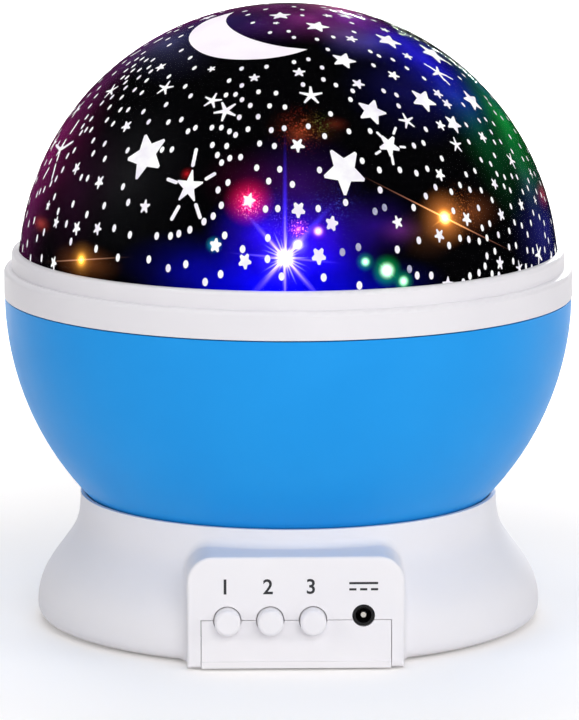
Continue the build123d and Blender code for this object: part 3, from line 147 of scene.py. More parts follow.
# %% [markdown]
# ## Floor and light
# The lamp stands on a white sweep of card. For the camera, for reflections and for what is seen
# through glass the card shines by itself, weakly under the lamp and fully further out, so it looks
# white up to the horizon. For everything else it is ordinary card, so the lamp is lit by the soft
# boxes alone and still throws its faint shadow. Its underside is clear, so that the battery door
# can be looked at from below.

# %% Floor
FLOOR_SIZE = 6.0
FLOOR_GLOW = 0.19
FULL_GLOW = 1.0
NEAR, FAR = 0.11, 0.45


def is_background(tree):
    """One for what the camera sees, straight, in mirrors or through glass, and zero for the rest."""
    path = add(tree, "ShaderNodeLightPath").outputs
    seen = path["Is Camera Ray"]
    for more in ("Is Glossy Ray", "Is Transmission Ray"):
        seen = add(tree, "ShaderNodeMath", {0: seen, 1: path[more]}, operation="MAXIMUM").outputs[0]
    return seen


def card(name, colour):
    """White card that also shines as a background."""
    made, tree, out = new_material(name)
    away = add(tree, "ShaderNodeVectorMath", {0: place_of(tree)}, operation="LENGTH").outputs["Value"]
    glow = add(tree, "ShaderNodeMapRange", {"Value": away, "From Min": NEAR, "From Max": FAR,
                                            "To Min": FLOOR_GLOW, "To Max": FULL_GLOW}).outputs[0]
    shine = add(tree, "ShaderNodeMath", {0: is_background(tree), 1: glow}, operation="MULTIPLY")
    paper = add(tree, "ShaderNodeBsdfDiffuse", {"Color": linear(colour)})
    light = add(tree, "ShaderNodeEmission", {"Color": linear("#FFFFFF"), "Strength": shine.outputs[0]})
    both = add(tree, "ShaderNodeAddShader", {0: paper.outputs[0], 1: light.outputs[0]})
    under = add(tree, "ShaderNodeNewGeometry").outputs["Backfacing"]
    clear = add(tree, "ShaderNodeBsdfTransparent")
    sheet = add(tree, "ShaderNodeMixShader", {"Fac": under, 1: both.outputs[0], 2: clear.outputs[0]})
    tree.links.new(sheet.outputs[0], out.inputs["Surface"])
    return made


floor_mesh = bpy.data.meshes.new("floor")
corners = [(x * FLOOR_SIZE, y * FLOOR_SIZE, 0) for x, y in ((-1, -1), (1, -1), (1, 1), (-1, 1))]
floor_mesh.from_pydata(corners, [], [(0, 1, 2, 3)])
floor_mesh.materials.append(card("white_card_floor", "#F6F3F1"))
floor = put("floor", floor_mesh)
print("floor", FLOOR_SIZE * 2, "m wide")

# %% [markdown]
# Large soft boxes on all four sides and above light pale plastic evenly. They are left out of
# mirrors, so that the black dome stays black. The walls of the studio fill the shadows with a weak
# grey light, and look white where they are seen.

# %% Soft boxes
MIDDLE = Vector((0, 0, 0.07))
FILL_LIGHT = 0.45
# name, place, width and height in metres, watts
SOFT_BOXES = [
    ("front_box", (0.20, -1.30, 0.58), (0.9, 0.7), 9.0),
    ("left_box", (-1.1, -0.8, 0.5), (0.6, 0.5), 3.3),
    ("right_box", (1.2, -0.6, 0.5), (0.6, 0.5), 3.9),
    ("top_box", (0.0, 0.0, 1.35), (1.1, 1.1), 6.0),
    ("back_box", (0.0, 1.4, 0.6), (0.9, 0.7), 9.0),
]


def soft_box(name, place, size, watts, mirrored=False):
    """A rectangular lamp that faces the object."""
    data = bpy.data.lights.new(name, "AREA")
    data.shape = "RECTANGLE"
    data.size, data.size_y = size
    data.energy = watts
    made = put(name, data)
    made.location = place
    made.rotation_euler = (MIDDLE - Vector(place)).to_track_quat("-Z", "Y").to_euler()
    made.visible_glossy = mirrored
    made.visible_transmission = False
    made.visible_camera = False
    return made


for box in SOFT_BOXES:
    soft_box(*box)

world = bpy.data.worlds.new("studio")
world.use_nodes = True
studio = world.node_tree
studio.nodes.clear()
fill = add(studio, "ShaderNodeBackground", {"Color": linear("#AAAAAE"), "Strength": FILL_LIGHT})
wall = add(studio, "ShaderNodeBackground", {"Color": linear("#FFFFFF"), "Strength": FULL_GLOW})
room = add(studio, "ShaderNodeMixShader",
           {"Fac": is_background(studio), 1: fill.outputs[0], 2: wall.outputs[0]})
add(studio, "ShaderNodeOutputWorld", {"Surface": room.outputs[0]})
bpy.context.scene.world = world
bpy.context.scene.view_settings.view_transform = "Standard"
print(len(bpy.data.lights), "lamps")

# %% [markdown]
# ## Moulded plastic
# The base, the collar and the small white parts are ABS, moulded in steel that was etched to a fine
# satin. ABS mirrors a little light at any angle, and its skin is never quite even: it waves by
# hundredths of a millimetre where it shrank, and the etching scatters the highlight. Two noises do
# that, a broad one for the colour and the gloss, and a fine one for the bump. The same function
# makes the other plastics, which differ in colour, gloss and grain.

# %% Plastics
PLASTIC_IOR = 1.54
SKIN_DEPTH = 0.05 * MM
# most of a noise lies between these two values
NOISE_LOW, NOISE_HIGH = 0.3, 0.7
# how far the roughness falls and rises around its middle
GLOSSIER, DULLER = 0.04, 0.05


def moulded(name, colour, shade, roughness, grain_mm=0.5, wave_mm=20.0, bump=0.08, specular=0.5):
    """Injection moulded plastic: two close colours, an uneven gloss and an etched skin."""
    made, tree, out = new_material(name)
    place = place_of(tree)
    wave = noise(tree, place, wave_mm, 3.0)
    tint = add(tree, "ShaderNodeMix", {"Factor": wave, 6: linear(colour), 7: linear(shade)},
               data_type="RGBA")
    gloss = add(tree, "ShaderNodeMapRange", {
        "Value": wave, "From Min": NOISE_LOW, "From Max": NOISE_HIGH,
        "To Min": roughness - GLOSSIER, "To Max": roughness + DULLER})
    skin = add(tree, "ShaderNodeBump", {"Strength": bump, "Distance": SKIN_DEPTH,
                                        "Height": noise(tree, place, grain_mm)})
    body = add(tree, "ShaderNodeBsdfPrincipled", {
        "Base Color": tint.outputs[2], "Roughness": gloss.outputs[0], "IOR": PLASTIC_IOR,
        "Specular IOR Level": specular, "Normal": skin.outputs[0]})
    tree.links.new(body.outputs[0], out.inputs["Surface"])
    return made


finish = {
    "white_plastic": moulded("white_abs_satin", "#F1EFF1", "#EBE9ED", 0.50, specular=0.2),
    "blue_plastic": moulded("blue_abs_satin", "#1F9BEA", "#1A93E3", 0.42, specular=0.12),
    "white_pom": moulded("white_acetal", "#E9E8E0", "#DEDDD4", 0.34, wave_mm=6.0),
    "black_plastic": moulded("black_nylon_glass_filled", "#08080A", "#101012", 0.40,
                             grain_mm=0.3, wave_mm=2.0, specular=0.25),
    "grey_plastic": moulded("grey_polyamide", "#8D9094", "#84878B", 0.45, wave_mm=5.0),
    "lead_insulation": moulded("red_pvc_lead", "#B3241F", "#9E1E1B", 0.42,
                               grain_mm=0.4, wave_mm=4.0),
    "rubber": moulded("black_rubber_matt", "#2B2B2D", "#232325", 0.78,
                      grain_mm=0.35, wave_mm=5.0, bump=0.3),
}
print("plastics:", ", ".join(m.name for m in finish.values()))

# %% [markdown]
# ## Metals
# The screws are zinc plated steel, bluish and a little cloudy. The battery springs and plates are
# nickel plated and brighter. The motor's can is drawn from sheet, so its fine lines run along it.
# Metal has no colour of its own but its mirror: the base colour is that of the reflection, and the
# scratches only change the roughness.

# %% Plated and drawn metal
# how far the roughness falls and rises around its middle
METAL_GLOSSIER, METAL_DULLER = 0.06, 0.1


def metal(name, colour, shade, roughness, stretch, line_mm):
    """Metal with fine lines. stretch says how far the lines are pulled out along x, y and z."""
    made, tree, out = new_material(name)
    place = add(tree, "ShaderNodeMapping", {"Vector": place_of(tree), "Scale": stretch}).outputs[0]
    lines = noise(tree, place, line_mm, 3.0)
    tint = add(tree, "ShaderNodeMix", {"Factor": lines, 6: linear(colour), 7: linear(shade)},
               data_type="RGBA")
    gloss = add(tree, "ShaderNodeMapRange", {
        "Value": lines, "From Min": NOISE_LOW, "From Max": NOISE_HIGH,
        "To Min": roughness - METAL_GLOSSIER, "To Max": roughness + METAL_DULLER})
    body = add(tree, "ShaderNodeBsdfPrincipled", {
        "Base Color": tint.outputs[2], "Metallic": 1.0, "Roughness": gloss.outputs[0]})
    tree.links.new(body.outputs[0], out.inputs["Surface"])
    return made


finish["screw_steel"] = metal("zinc_plated_steel", "#C9CCD4", "#B4B8C2", 0.30, (1, 1, 1), 0.6)
finish["spring_steel"] = metal("nickel_plated_steel", "#D8D4CA", "#C6C2B8", 0.22, (1, 1, 0.3), 0.5)
finish["brass"] = metal("tinned_brass", "#D9C58C", "#C4AC6E", 0.28, (1, 1, 1), 0.5)
finish["motor_steel"] = metal("drawn_steel_can", "#BFC1C6", "#A9ABB1", 0.26, (1, 1, 0.06), 0.3)
print("metals:", [finish[k].name for k in ("screw_steel", "spring_steel", "brass", "motor_steel")])

# %% [markdown]
# ## Circuit board
# A board is glass fibre laminate under green solder mask. The copper tracks lie under the mask and
# show as lighter, slightly raised lines. A brick pattern with thin mortar gives lines that run
# square to each other, and a coarse noise breaks them up so that they read as tracks.

# %% Solder mask over copper
TRACK_PITCH = 2.6
TRACK_WIDTH = 0.4
TRACK_HEIGHT = 0.035 * MM
# a track runs where a noise is above these values, and fades out between them
TRACK_END, TRACK_START = 0.45, 0.55


def board_finish():
    """Green solder mask with copper tracks under it."""
    made, tree, out = new_material("green_solder_mask")
    place = place_of(tree)
    tracks = add(tree, "ShaderNodeTexBrick", {
        "Vector": place, "Scale": 1 / (TRACK_PITCH * MM), "Mortar Size": TRACK_WIDTH / TRACK_PITCH / 2,
        "Brick Width": 1.7, "Row Height": 1.0, "Color1": (0, 0, 0, 1), "Color2": (0, 0, 0, 1),
        "Mortar": (1, 1, 1, 1)})
    patches = add(tree, "ShaderNodeMapRange", {
        "Value": noise(tree, place, 5.0), "From Min": TRACK_END, "From Max": TRACK_START})
    lines = add(tree, "ShaderNodeMath", {0: tracks.outputs["Color"], 1: patches.outputs[0]},
                operation="MULTIPLY").outputs[0]
    tint = add(tree, "ShaderNodeMix", {"Factor": lines, 6: linear("#0F5A2E"), 7: linear("#2F8A4C")},
               data_type="RGBA")
    rise = add(tree, "ShaderNodeBump", {"Strength": 0.4, "Distance": TRACK_HEIGHT, "Height": lines})
    body = add(tree, "ShaderNodeBsdfPrincipled", {
        "Base Color": tint.outputs[2], "Roughness": 0.28, "Normal": rise.outputs[0]})
    tree.links.new(body.outputs[0], out.inputs["Surface"])
    return made


finish["circuit_board"] = board_finish()
print("board tracks", TRACK_WIDTH, "mm wide")

# %% [markdown]
# ## Shrink sleeves
# The battery cells and the capacitor wear a printed sleeve of thin PVC film, which shrank on in hot
# air. It is glossy and shows faint ripples around it. Bands of another colour are printed at set
# places along the part, so the colour is chosen from the place along one axis.

# %% Cells and capacitor
SLEEVE_IOR = 1.53
# shares of the part's length: the cell's band starts and ends so far from its end, the
# capacitor's band reaches so far up from its foot
CELL_BAND = (0.24, 0.04)
CAPACITOR_BAND = 0.12


def sleeve(name, ground, band, axis, low, high):
    """A glossy sleeve with a band between low and high along an axis, in metres."""
    made, tree, out = new_material(name)
    place = place_of(tree)
    along = add(tree, "ShaderNodeSeparateXYZ", {"Vector": place}).outputs[axis]
    above = add(tree, "ShaderNodeMath", {0: along, 1: low}, operation="GREATER_THAN")
    below = add(tree, "ShaderNodeMath", {0: along, 1: high}, operation="LESS_THAN")
    inside = add(tree, "ShaderNodeMath", {0: above.outputs[0], 1: below.outputs[0]}, operation="MULTIPLY")
    tint = add(tree, "ShaderNodeMix", {"Factor": inside.outputs[0], 6: linear(ground), 7: linear(band)},
               data_type="RGBA")
    ripple = add(tree, "ShaderNodeBump", {"Strength": 0.15, "Distance": 0.1 * MM,
                                          "Height": noise(tree, place, 1.5)})
    body = add(tree, "ShaderNodeBsdfPrincipled", {
        "Base Color": tint.outputs[2], "Roughness": 0.2, "IOR": SLEEVE_IOR, "Normal": ripple.outputs[0]})
    tree.links.new(body.outputs[0], out.inputs["Surface"])
    return made


cell_low, cell_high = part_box("battery_cell_1")
cap_low, cap_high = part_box("smoothing_capacitor")
cell_length = cell_high.y - cell_low.y
cap_length = cap_high.z - cap_low.z
finish["cell_jacket"] = sleeve("printed_cell_sleeve", "#1E5E34", "#C9A227", "Y",
                               *(cell_high.y - share * cell_length for share in CELL_BAND))
finish["capacitor_sleeve"] = sleeve("capacitor_sleeve", "#12142E", "#9DA3B8", "Z",
                                    cap_low.z, cap_low.z + CAPACITOR_BAND * cap_length)
print("cells", round(cell_length / MM, 1), "mm long, capacitor", round(cap_length / MM, 1), "mm")

# %% [markdown]
# ## Lamps
# Each LED is a chip cast in tinted epoxy. Lit, the whole lens glows in its colour and is brightest
# over the chip, so the light falls off from the middle of the lens. The lens itself stays glossy.

# %% LED lenses
EPOXY_IOR = 1.52
LENS_GLOW = 1.6
RIM_SHARE = 0.25


def lit_lens(name, node, tint, light):
    """Tinted epoxy that glows from its middle."""
    made, tree, out = new_material(name)
    low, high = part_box(node)
    centre = (Vector(low) + Vector(high)) / 2
    away = add(tree, "ShaderNodeVectorMath", {0: place_of(tree), 1: centre}, operation="DISTANCE")
    glow = add(tree, "ShaderNodeMapRange", {
        "Value": away.outputs["Value"], "From Min": 0.0, "From Max": (high.z - low.z) / 2,
        "To Min": LENS_GLOW, "To Max": LENS_GLOW * RIM_SHARE})
    body = add(tree, "ShaderNodeBsdfPrincipled", {
        "Base Color": linear(tint), "Roughness": 0.08, "IOR": EPOXY_IOR,
        "Emission Color": linear(light), "Emission Strength": glow.outputs[0]})
    tree.links.new(body.outputs[0], out.inputs["Surface"])
    return made


for colour, tint, light in (("white", "#F2F4FF", "#FFFFFF"), ("red", "#D81E1E", "#FF2A1A"),
                            ("green", "#1FB540", "#2BFF5A"), ("blue", "#1E3FE0", "#2A55FF")):
    finish["led_" + colour] = lit_lens("led_epoxy_" + colour, "led_" + colour, tint, light)
print("four lamps lit")

# %% [markdown]
# ## Clear dome
# The dome is blown from clear polystyrene, polished on both sides. It bends what lies behind it and
# mirrors a little, most where it is seen edge on. The film lies right against its inner side, so
# the print reaches the very edge of the ball. Refraction and a mirror are mixed by the angle, and
# the mirror is kept weak, because the film behind it is black and would show every reflection.

# %% Polystyrene
DOME_IOR = 1.5
DOME_WAVE = 14.0
DOME_WAVE_DEPTH = 0.01 * MM
MIRROR_SHARE = 0.014


def clear_dome():
    """Clear plastic: refraction, and a weak mirror that grows towards the edge."""
    made, tree, out = new_material("clear_polystyrene")
    place = place_of(tree)
    wave = add(tree, "ShaderNodeBump", {"Strength": 0.05, "Distance": DOME_WAVE_DEPTH,
                                        "Height": noise(tree, place, DOME_WAVE)})
    edge = add(tree, "ShaderNodeFresnel", {"IOR": DOME_IOR, "Normal": wave.outputs[0]})
    share = add(tree, "ShaderNodeMath", {0: edge.outputs[0], 1: MIRROR_SHARE}, operation="MULTIPLY")
    bend = add(tree, "ShaderNodeBsdfRefraction", {"Color": linear("#FFFFFF"), "Roughness": 0.0,
                                                  "IOR": DOME_IOR})
    mirror = add(tree, "ShaderNodeBsdfAnisotropic", {"Color": linear("#FFFFFF"), "Roughness": 0.04,
                                                     "Normal": wave.outputs[0]})
    both = add(tree, "ShaderNodeMixShader",
               {"Fac": share.outputs[0], 1: bend.outputs[0], 2: mirror.outputs[0]})
    tree.links.new(both.outputs[0], out.inputs["Surface"])
    return made


finish["clear_dome"] = clear_dome()
print("dome of", finish["clear_dome"].name)

# %% [markdown]
# Each part of the frame now gets the finish of its plastic or metal. The collar gets a copy of the white
# that is a shade greyer than the base's: painted shade, because the lamps light it more than the base under
# the ball.

# %% Dress every part of the frame
def dress(node, material):
    """Give a part of the frame one material."""
    skins = nodes[node].data.materials
    skins.clear()
    skins.append(material)


for row in frame["record"]["subparts"]:
    if row["material_slot"] in finish:
        dress(row["node"], finish[row["material_slot"]])
# painted shade: the collar's white is darkened to even it with the less lit base under the ball
dress("collar_ring", moulded("white_abs_collar_painted_shade", "#E9E7EA", "#E3E1E6", 0.50, specular=0.2))
print(len(finish) + 1, "finishes on", len(nodes), "parts")

# %% [markdown]
# ## Where a line of sight meets the film
# The print is laid out as it is seen from the front, by points of the image. Each point is turned
# into a line from the camera, bent where it enters the dome and followed to the film. So a star
# lands at its place on the ball, and looks right from any other side too.

# %% From image to film
DOME_WALL = 1.5 * MM
FILM_OVERLAP = 0.06 * MM
FOCAL = LENS / SENSOR * IMAGE[1]
dome_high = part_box("dome_cover")[1]
DOME_RADIUS = dome_high.x
DOME_CENTRE = Vector((0, 0, dome_high.z - DOME_RADIUS))
FILM_RADIUS = DOME_RADIUS - DOME_WALL + FILM_OVERLAP


def meet(start, ray, radius):
    """The first point where a ray meets a sphere about the origin, or its nearest point to it."""
    reach = -start.dot(ray)
    room = reach ** 2 - start.length_squared + radius ** 2
    return start + ray * (reach - sqrt(max(room, 0)))


def sight(u, v):
    """The line of sight through a point of the image, and where it meets the dome."""
    ray = (right * (u - IMAGE[0] / 2) + up * (IMAGE[1] / 2 - v) + forward * FOCAL).normalized()
    return ray, meet(camera.location - DOME_CENTRE, ray, DOME_RADIUS)


def film_spot(u, v):
    """The direction from the dome's centre to the film, for a point of the image."""
    ray, outside = sight(u, v)
    normal = outside.normalized()
    facing = max(-ray.dot(normal), 0.0)
    ray = ray / DOME_IOR + normal * (facing / DOME_IOR - sqrt(1 - (1 - facing ** 2) / DOME_IOR ** 2))
    return meet(outside, ray.normalized(), FILM_RADIUS).normalized()


def sides(spot):
    """Unit vectors around the dome and up it, at a spot of the film."""
    around = Vector((0, 0, 1)).cross(spot).normalized()
    return around, spot.cross(around)


print("film radius", round(FILM_RADIUS / MM, 2), "mm, dome's middle",
      [round(v / MM, 1) for v in DOME_CENTRE])

# %% [markdown]
# Narrow strips behind the lamp draw the thin bright lines near the dome's edge. A strip is placed
# by where its reflection should show: the line of sight meets the dome there and is thrown back by
# the mirror law, and the strip hangs at the end of that line. Unlike the soft boxes it shows in
# mirrors, and it lights no dull surface.

# %% Strips behind the dome
STRIP_AWAY = 1.6
STRIP_WIDTH = 0.07
# watts for each square metre of a strip, over pi
STRIP_LIGHT = 370
# from, to: places of the image
GLINTS = [((331.7, 9.8), (359, 17.6)), ((400.5, 31.8), (415.2, 39.0)), ((426.7, 44.2), (480, 85.8))]


def strip(name, start, end):
    """A narrow lamp whose reflection in the dome runs between two places of the image."""
    ends = []
    for place in (start, end):
        ray, outside = sight(*place)
        normal = outside.normalized()
        ends.append(DOME_CENTRE + outside + (ray - normal * 2 * ray.dot(normal)) * STRIP_AWAY)
    middle, along = (ends[0] + ends[1]) / 2, ends[1] - ends[0]
    watts = STRIP_LIGHT * along.length * STRIP_WIDTH * pi
    made = soft_box(name, middle, (along.length, STRIP_WIDTH), watts, mirrored=True)
    made.visible_diffuse = False
    back = (middle - DOME_CENTRE).normalized()
    along = (along - back * along.dot(back)).normalized()
    made.rotation_euler = Matrix((along, back.cross(along), back)).transposed().to_euler()


for k, (start, end) in enumerate(GLINTS):
    strip("strip_" + str(k + 1), start, end)
print(len(GLINTS), "strips,", STRIP_WIDTH, "m wide")

# %% [markdown]
# ## The printed film
# The film is black ink on clear foil, formed by heat to the dome. It is modelled as a thin closed
# shell, and in place of the plain one in the frame, because its colours need a fine mesh. The
# lamps behind it light it unevenly: soft patches of colour, small hot spots with haloes, and thin
# rays. Each patch is a soft ball of light, pulled out along two directions and laid on the film.

# %% Shape of the film
FILM_THICKNESS = 0.65 * MM
AROUND = 192
UPWARDS = 64
film_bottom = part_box("star_film")[0].z


def as_data(name, mesh):
    """Turn points and faces that were edited as a bmesh into mesh data."""
    data = bpy.data.meshes.new(name)
    mesh.to_mesh(data)
    mesh.free()
    return data


def shell(name, outer, inner, bottom):
    """A closed cap between two spheres about the dome's centre, open below at height bottom."""
    mesh = bmesh.new()
    walls = []
    for radius in (outer, inner):
        lowest = (bottom - DOME_CENTRE.z) / radius
        start = atan2(lowest, sqrt(1 - lowest ** 2))
        rings = []
        for i in range(UPWARDS):
            rise = start + (pi / 2 - start) * i / UPWARDS
            rings.append([mesh.verts.new(DOME_CENTRE + Vector((
                radius * cos(rise) * cos(2 * pi * k / AROUND), radius * cos(rise) * sin(2 * pi * k / AROUND),
                radius * sin(rise)))) for k in range(AROUND)])
        top = mesh.verts.new(DOME_CENTRE + Vector((0, 0, radius)))
        for below, above in zip(rings, rings[1:]):
            for k in range(AROUND):
                mesh.faces.new((below[k], below[(k + 1) % AROUND], above[(k + 1) % AROUND], above[k]))
        for k in range(AROUND):
            mesh.faces.new((rings[-1][k], rings[-1][(k + 1) % AROUND], top))
        walls.append(rings[0])
    for k in range(AROUND):
        mesh.faces.new((walls[0][k], walls[1][k], walls[1][(k + 1) % AROUND], walls[0][(k + 1) % AROUND]))
    bmesh.ops.recalc_face_normals(mesh, faces=mesh.faces)
    data = as_data(name, mesh)
    data.shade_smooth()
    return put(name, data)


film = shell("printed_film", FILM_RADIUS, FILM_RADIUS - FILM_THICKNESS, film_bottom)
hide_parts("star_film")
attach(film, "cover")
print("film of", len(film.data.polygons), "faces")

# %% [markdown]
# The patches of colour follow the lamps inside: magenta at the left, blue and green at the right,
# deep blue low in front. A patch is given by its place in the image, its two half widths in
# millimetres on the film, its turn, its colour and its strength.

# %% Patches of coloured light
# place in the image, half width, half height, turn in degrees, colour, strength
PATCHES = [
    ((52, 150), 26, 26, 0, "#8E1E66", 0.60),
    ((28, 215), 20, 30, 0, "#6A1C5C", 0.50),
    ((40.4, 223.4), 7, 2.4, 0, "#B04030", 0.8),
    ((95, 90), 15, 20, 0, "#6A2060", 0.60),
    ((130, 60), 12, 12, 0, "#3A2850", 0.6),
    ((78, 190), 16, 20, 0, "#2E0E28", 0.6),
    ((165, 42), 26, 13, 0, "#3A3A5C", 1.0),
    ((214, 22), 18, 16, 0, "#201E54", 0.9),
    ((130, 175), 20, 24, 0, "#1E1E20", 0.65),
    ((258, 24), 15, 13, 0, "#381858", 0.9),
    ((276, 6), 11, 12, 0, "#6A2468", 0.8),
    ((310, 18), 16, 14, 0, "#7C2A74", 0.95),
    ((336, 8), 13, 13, 0, "#B0508E", 0.95),
    ((356, 20), 14, 12, 0, "#7E34A4", 0.95),
    ((346, 34), 9, 9, 0, "#5E447C", 0.85),
    ((368, 42), 14, 9, 0, "#383484", 0.9),
    ((405, 42), 12, 12, 20, "#1E16B0", 0.9),
    ((428, 62), 15, 22, 20, "#1A14B8", 0.85),
    ((408, 92), 18, 16, 0, "#14125E", 0.6),
    ((450, 92), 13, 16, 0, "#161A90", 0.8),
    ((482, 88), 9, 14, 0, "#164870", 0.6),
    ((506, 124), 15, 20, 0, "#0E8634", 0.96),
    ((486, 140), 12, 22, 0, "#0A5A2A", 0.6),
    ((518, 160), 10, 16, 0, "#126030", 0.6),
    ((530, 190), 8, 12, 0, "#242C48", 0.6),
    ((537, 176), 12, 8, 0, "#1C3C34", 0.6),
    ((543, 195), 9, 4, 0, "#A0303A", 0.8),
    ((545, 232), 20, 16, 0, "#24247C", 0.8),
    ((300, 262), 20, 14, 0, "#0C04F0", 1.05),
    ((276, 290), 32, 13, 0, "#0402F0", 1.1),
    ((290, 232), 14, 12, 0, "#3810E0", 0.5),
    ((262, 236), 14, 12, 0, "#2408E8", 1.0),
    ((322, 236), 15, 12, 0, "#2C08B0", 1.0),
    ((375, 225), 12, 9, 0, "#280A78", 0.7),
    ((400, 230), 7, 4, 0, "#6A2878", 0.6),
    ((205, 268), 24, 9, 0, "#02027A", 0.9),
    ((362, 285), 22, 7, 0, "#020282", 0.9),
    ((248, 180), 12, 9, 0, "#380020", 0.8),
    ((298, 188), 17, 15, 0, "#2C0A54", 1.0),
    ((306, 128), 10, 5, -8, "#481C08", 0.6),
    ((299, 134), 4, 3.5, 0, "#7A3418", 0.8),
    ((335, 124), 4, 2.5, 0, "#702818", 0.5),
    ((472, 212), 11, 6, 0, "#64341A", 1.0),
    ((428, 232), 9, 7, 0, "#5A341C", 0.8),
    ((84, 262), 13, 5, 0, "#7A4420", 1.0),
]
print(len(PATCHES), "patches")

# %% [markdown]
# Hot spots are where a lamp is seen almost directly: a wide weak halo, a narrower one, and a core
# that is brighter than white. Rays are very thin patches through a core. The back of the dome is
# lit the same way, with patches and hot spots at places drawn from a fixed seed.

# %% Hot spots and rays
# place, radius of the halo in millimetres, its colour, colour of the core, radius of the core
HOT_SPOTS = [
    ((285, 258), 7.5, "#4A34D8", "#F6F2FF", 2.7),
    ((297.8, 244.6), 2.8, "#9080FF", "#FFFFFF", 1.5),
    ((248.7, 201.2), 6.3, "#F01458", "#FFC0D8", 1.5),
    ((298.4, 229.3), 2.8, "#8828A0", "#D060D0", 0.8),
    ((318.2, 231.2), 2.2, "#A838C8", "#F8C8FF", 1.3),
    ((213.8, 244.6), 2.2, "#1A9AB8", "#C0FFFF", 0.9),
    ((365.4, 261.8), 2.4, "#149848", "#B0FFD0", 1.3),
    ((387, 270.5), 4.0, "#0CB83A", "#E8FFF0", 2.2),
    ((403.6, 281.2), 2.8, "#14A040", "#B8FFD0", 1.5),
    ((444.8, 217.6), 7.5, "#CC7838", "#F0A840", 2.4),
    ((444.8, 217.6), 3.4, "#D88428", "#FFF6B0", 1.9),
    ((81.2, 259.8), 5.0, "#8A5A20", "#C08C2C", 2.2),
    ((81.2, 259.8), 3.0, "#B07A24", "#F4C860", 1.2),
    ((186.7, 173.9), 1.9, "#80080E", "#400408", 0.8),
]
# from, to, half width in millimetres, colour, strength
RAYS = [
    ((285, 122), (285, 394), 0.85, "#3824EC", 2.8),
    ((285, 200), (285, 316), 0.45, "#A090FF", 3.0),
    ((341, 195), (229, 321), 1.25, "#4434F0", 3.1),
    ((309, 231), (261, 285), 0.65, "#B0A0FF", 2.6),
    ((241, 208), (329, 308), 0.95, "#6C54F4", 3.5),
    ((257, 226), (313, 290), 0.45, "#B8A8FF", 2.6),
    ((255, 294), (315, 222), 0.75, "#7860FA", 3.0),
    ((347, 263.7), (223, 252.3), 0.42, "#7058E8", 2.6),
    ((362, 176), (527.6, 259.2), 0.22, "#B87860", 2.2),
    ((407, 198.6), (482.6, 236.6), 0.36, "#FFB458", 2.2),
    ((430, 228), (459.6, 207.2), 0.36, "#FFB050", 1.4),
    ((36, 262.4), (126.4, 257.2), 0.26, "#B88468", 1.8),
]
# middle, number of rays, reach in the image, half width in millimetres, colour, strength
BURSTS = [
    ((285, 258), 11, 30, 0.32, "#CCC0FF", 3.2),
    ((248.7, 201.2), 6, 19, 0.36, "#FF2C78", 2.0),
    ((387, 270.5), 6, 12, 0.30, "#40F080", 1.6),
]
# place, radius in millimetres, colour and strength of a field of fine sparks
SPARKS = [
    ((298.4, 228.6), 2.9, "#F878D0", 6.0),
    ((249, 205), 4.2, "#FF90B8", 4.0),
    ((300, 129), 8.0, "#A83828", 1.5),
    ((318, 125), 5.0, "#3A7A30", 1.2),
    ((282, 222), 10.0, "#5A3CC8", 1.0),
    ((335, 205), 9.0, "#3A48B0", 0.8),
    ((462, 211), 8.0, "#B8642C", 1.4),
]
print(len(HOT_SPOTS), "hot spots,", len(SPARKS), "fields of sparks")

# %% [markdown]
# A burst is a handful of rays through one middle. Its rays are drawn at slightly uneven angles and
# lengths. The lights at the back take their places, sizes and colours from the same seed.

# %% Bursts and the back of the dome
random.seed(11)
BURST_SWAY = 0.3
BURST_LENGTHS = (0.6, 1.15)
BACK_PALETTE = ("#8A1C74", "#1A12C8", "#0A8A1E", "#4A14B8", "#6A1690", "#1A6E9A", "#7A0C74", "#1408F0")
BACK_HOT = (("#7A4606", "#FFE8A0"), ("#0CB82A", "#E8FFF0"), ("#F01440", "#FFC0D0"), ("#6A5CFF", "#FFFFFF"))
BACK_PATCHES = 22
BACK_HOT_SPOTS = 7
# degrees round the dome and up it, from the least to the most
BACK_TURNS = (15, 165)
BACK_PATCH_HEIGHTS = (5, 75)
BACK_HOT_HEIGHTS = (8, 40)
# radii in millimetres, from the least to the most
BACK_PATCH_SIZES = (14, 28)
BACK_HALO_SIZES = (4, 9)
BACK_CORE_SIZES = (1.4, 2.6)


def from_behind(heights):
    """A direction to a spot on the back half of the dome, between two heights in degrees."""
    turn = radians(random.uniform(*BACK_TURNS))
    rise = radians(random.uniform(*heights))
    return Vector((cos(rise) * cos(turn), cos(rise) * sin(turn), sin(rise)))


def burst(middle, count, reach, half, colour, strength):
    """Rays all round a middle, of uneven lengths."""
    rays = []
    for k in range(count):
        angle = pi * (k + random.uniform(-BURST_SWAY, BURST_SWAY)) / count
        length = reach * random.uniform(*BURST_LENGTHS)
        step = Vector((cos(angle), sin(angle))) * length
        rays.append((Vector(middle) - step, Vector(middle) + step, half, colour, strength))
    return rays


for row in BURSTS:
    RAYS += burst(*row)
print(len(RAYS), "rays, with those of", len(BURSTS), "bursts")

# %% [markdown]
# All the light is added up in one material. Each patch is three nodes: a mapping that moves and
# stretches space so that the patch becomes a ball of radius one, a gradient that fades from the
# middle of that ball to its skin, and a sum that adds its colour to those before it. A ray is a
# very flat ball that stands in the plane of the eye and the ray, so it looks straight. Cycles can
# hold about sixty balls in one sum, so there are several sums, each with a shader of its own.

# %% Light on the film
CLOUD_SIZE = 7.0
CLOUD_LIGHT = (0.72, 1.25)
SPARK_SIZE = 0.36
# a spark shows where its noise is above the first value, and is full at the second
SPARK_NOISE = (0.56, 0.72)
HALO_LIGHT = 1.6
CORE_LIGHT = 4.0
BACK_LIGHT = 0.7


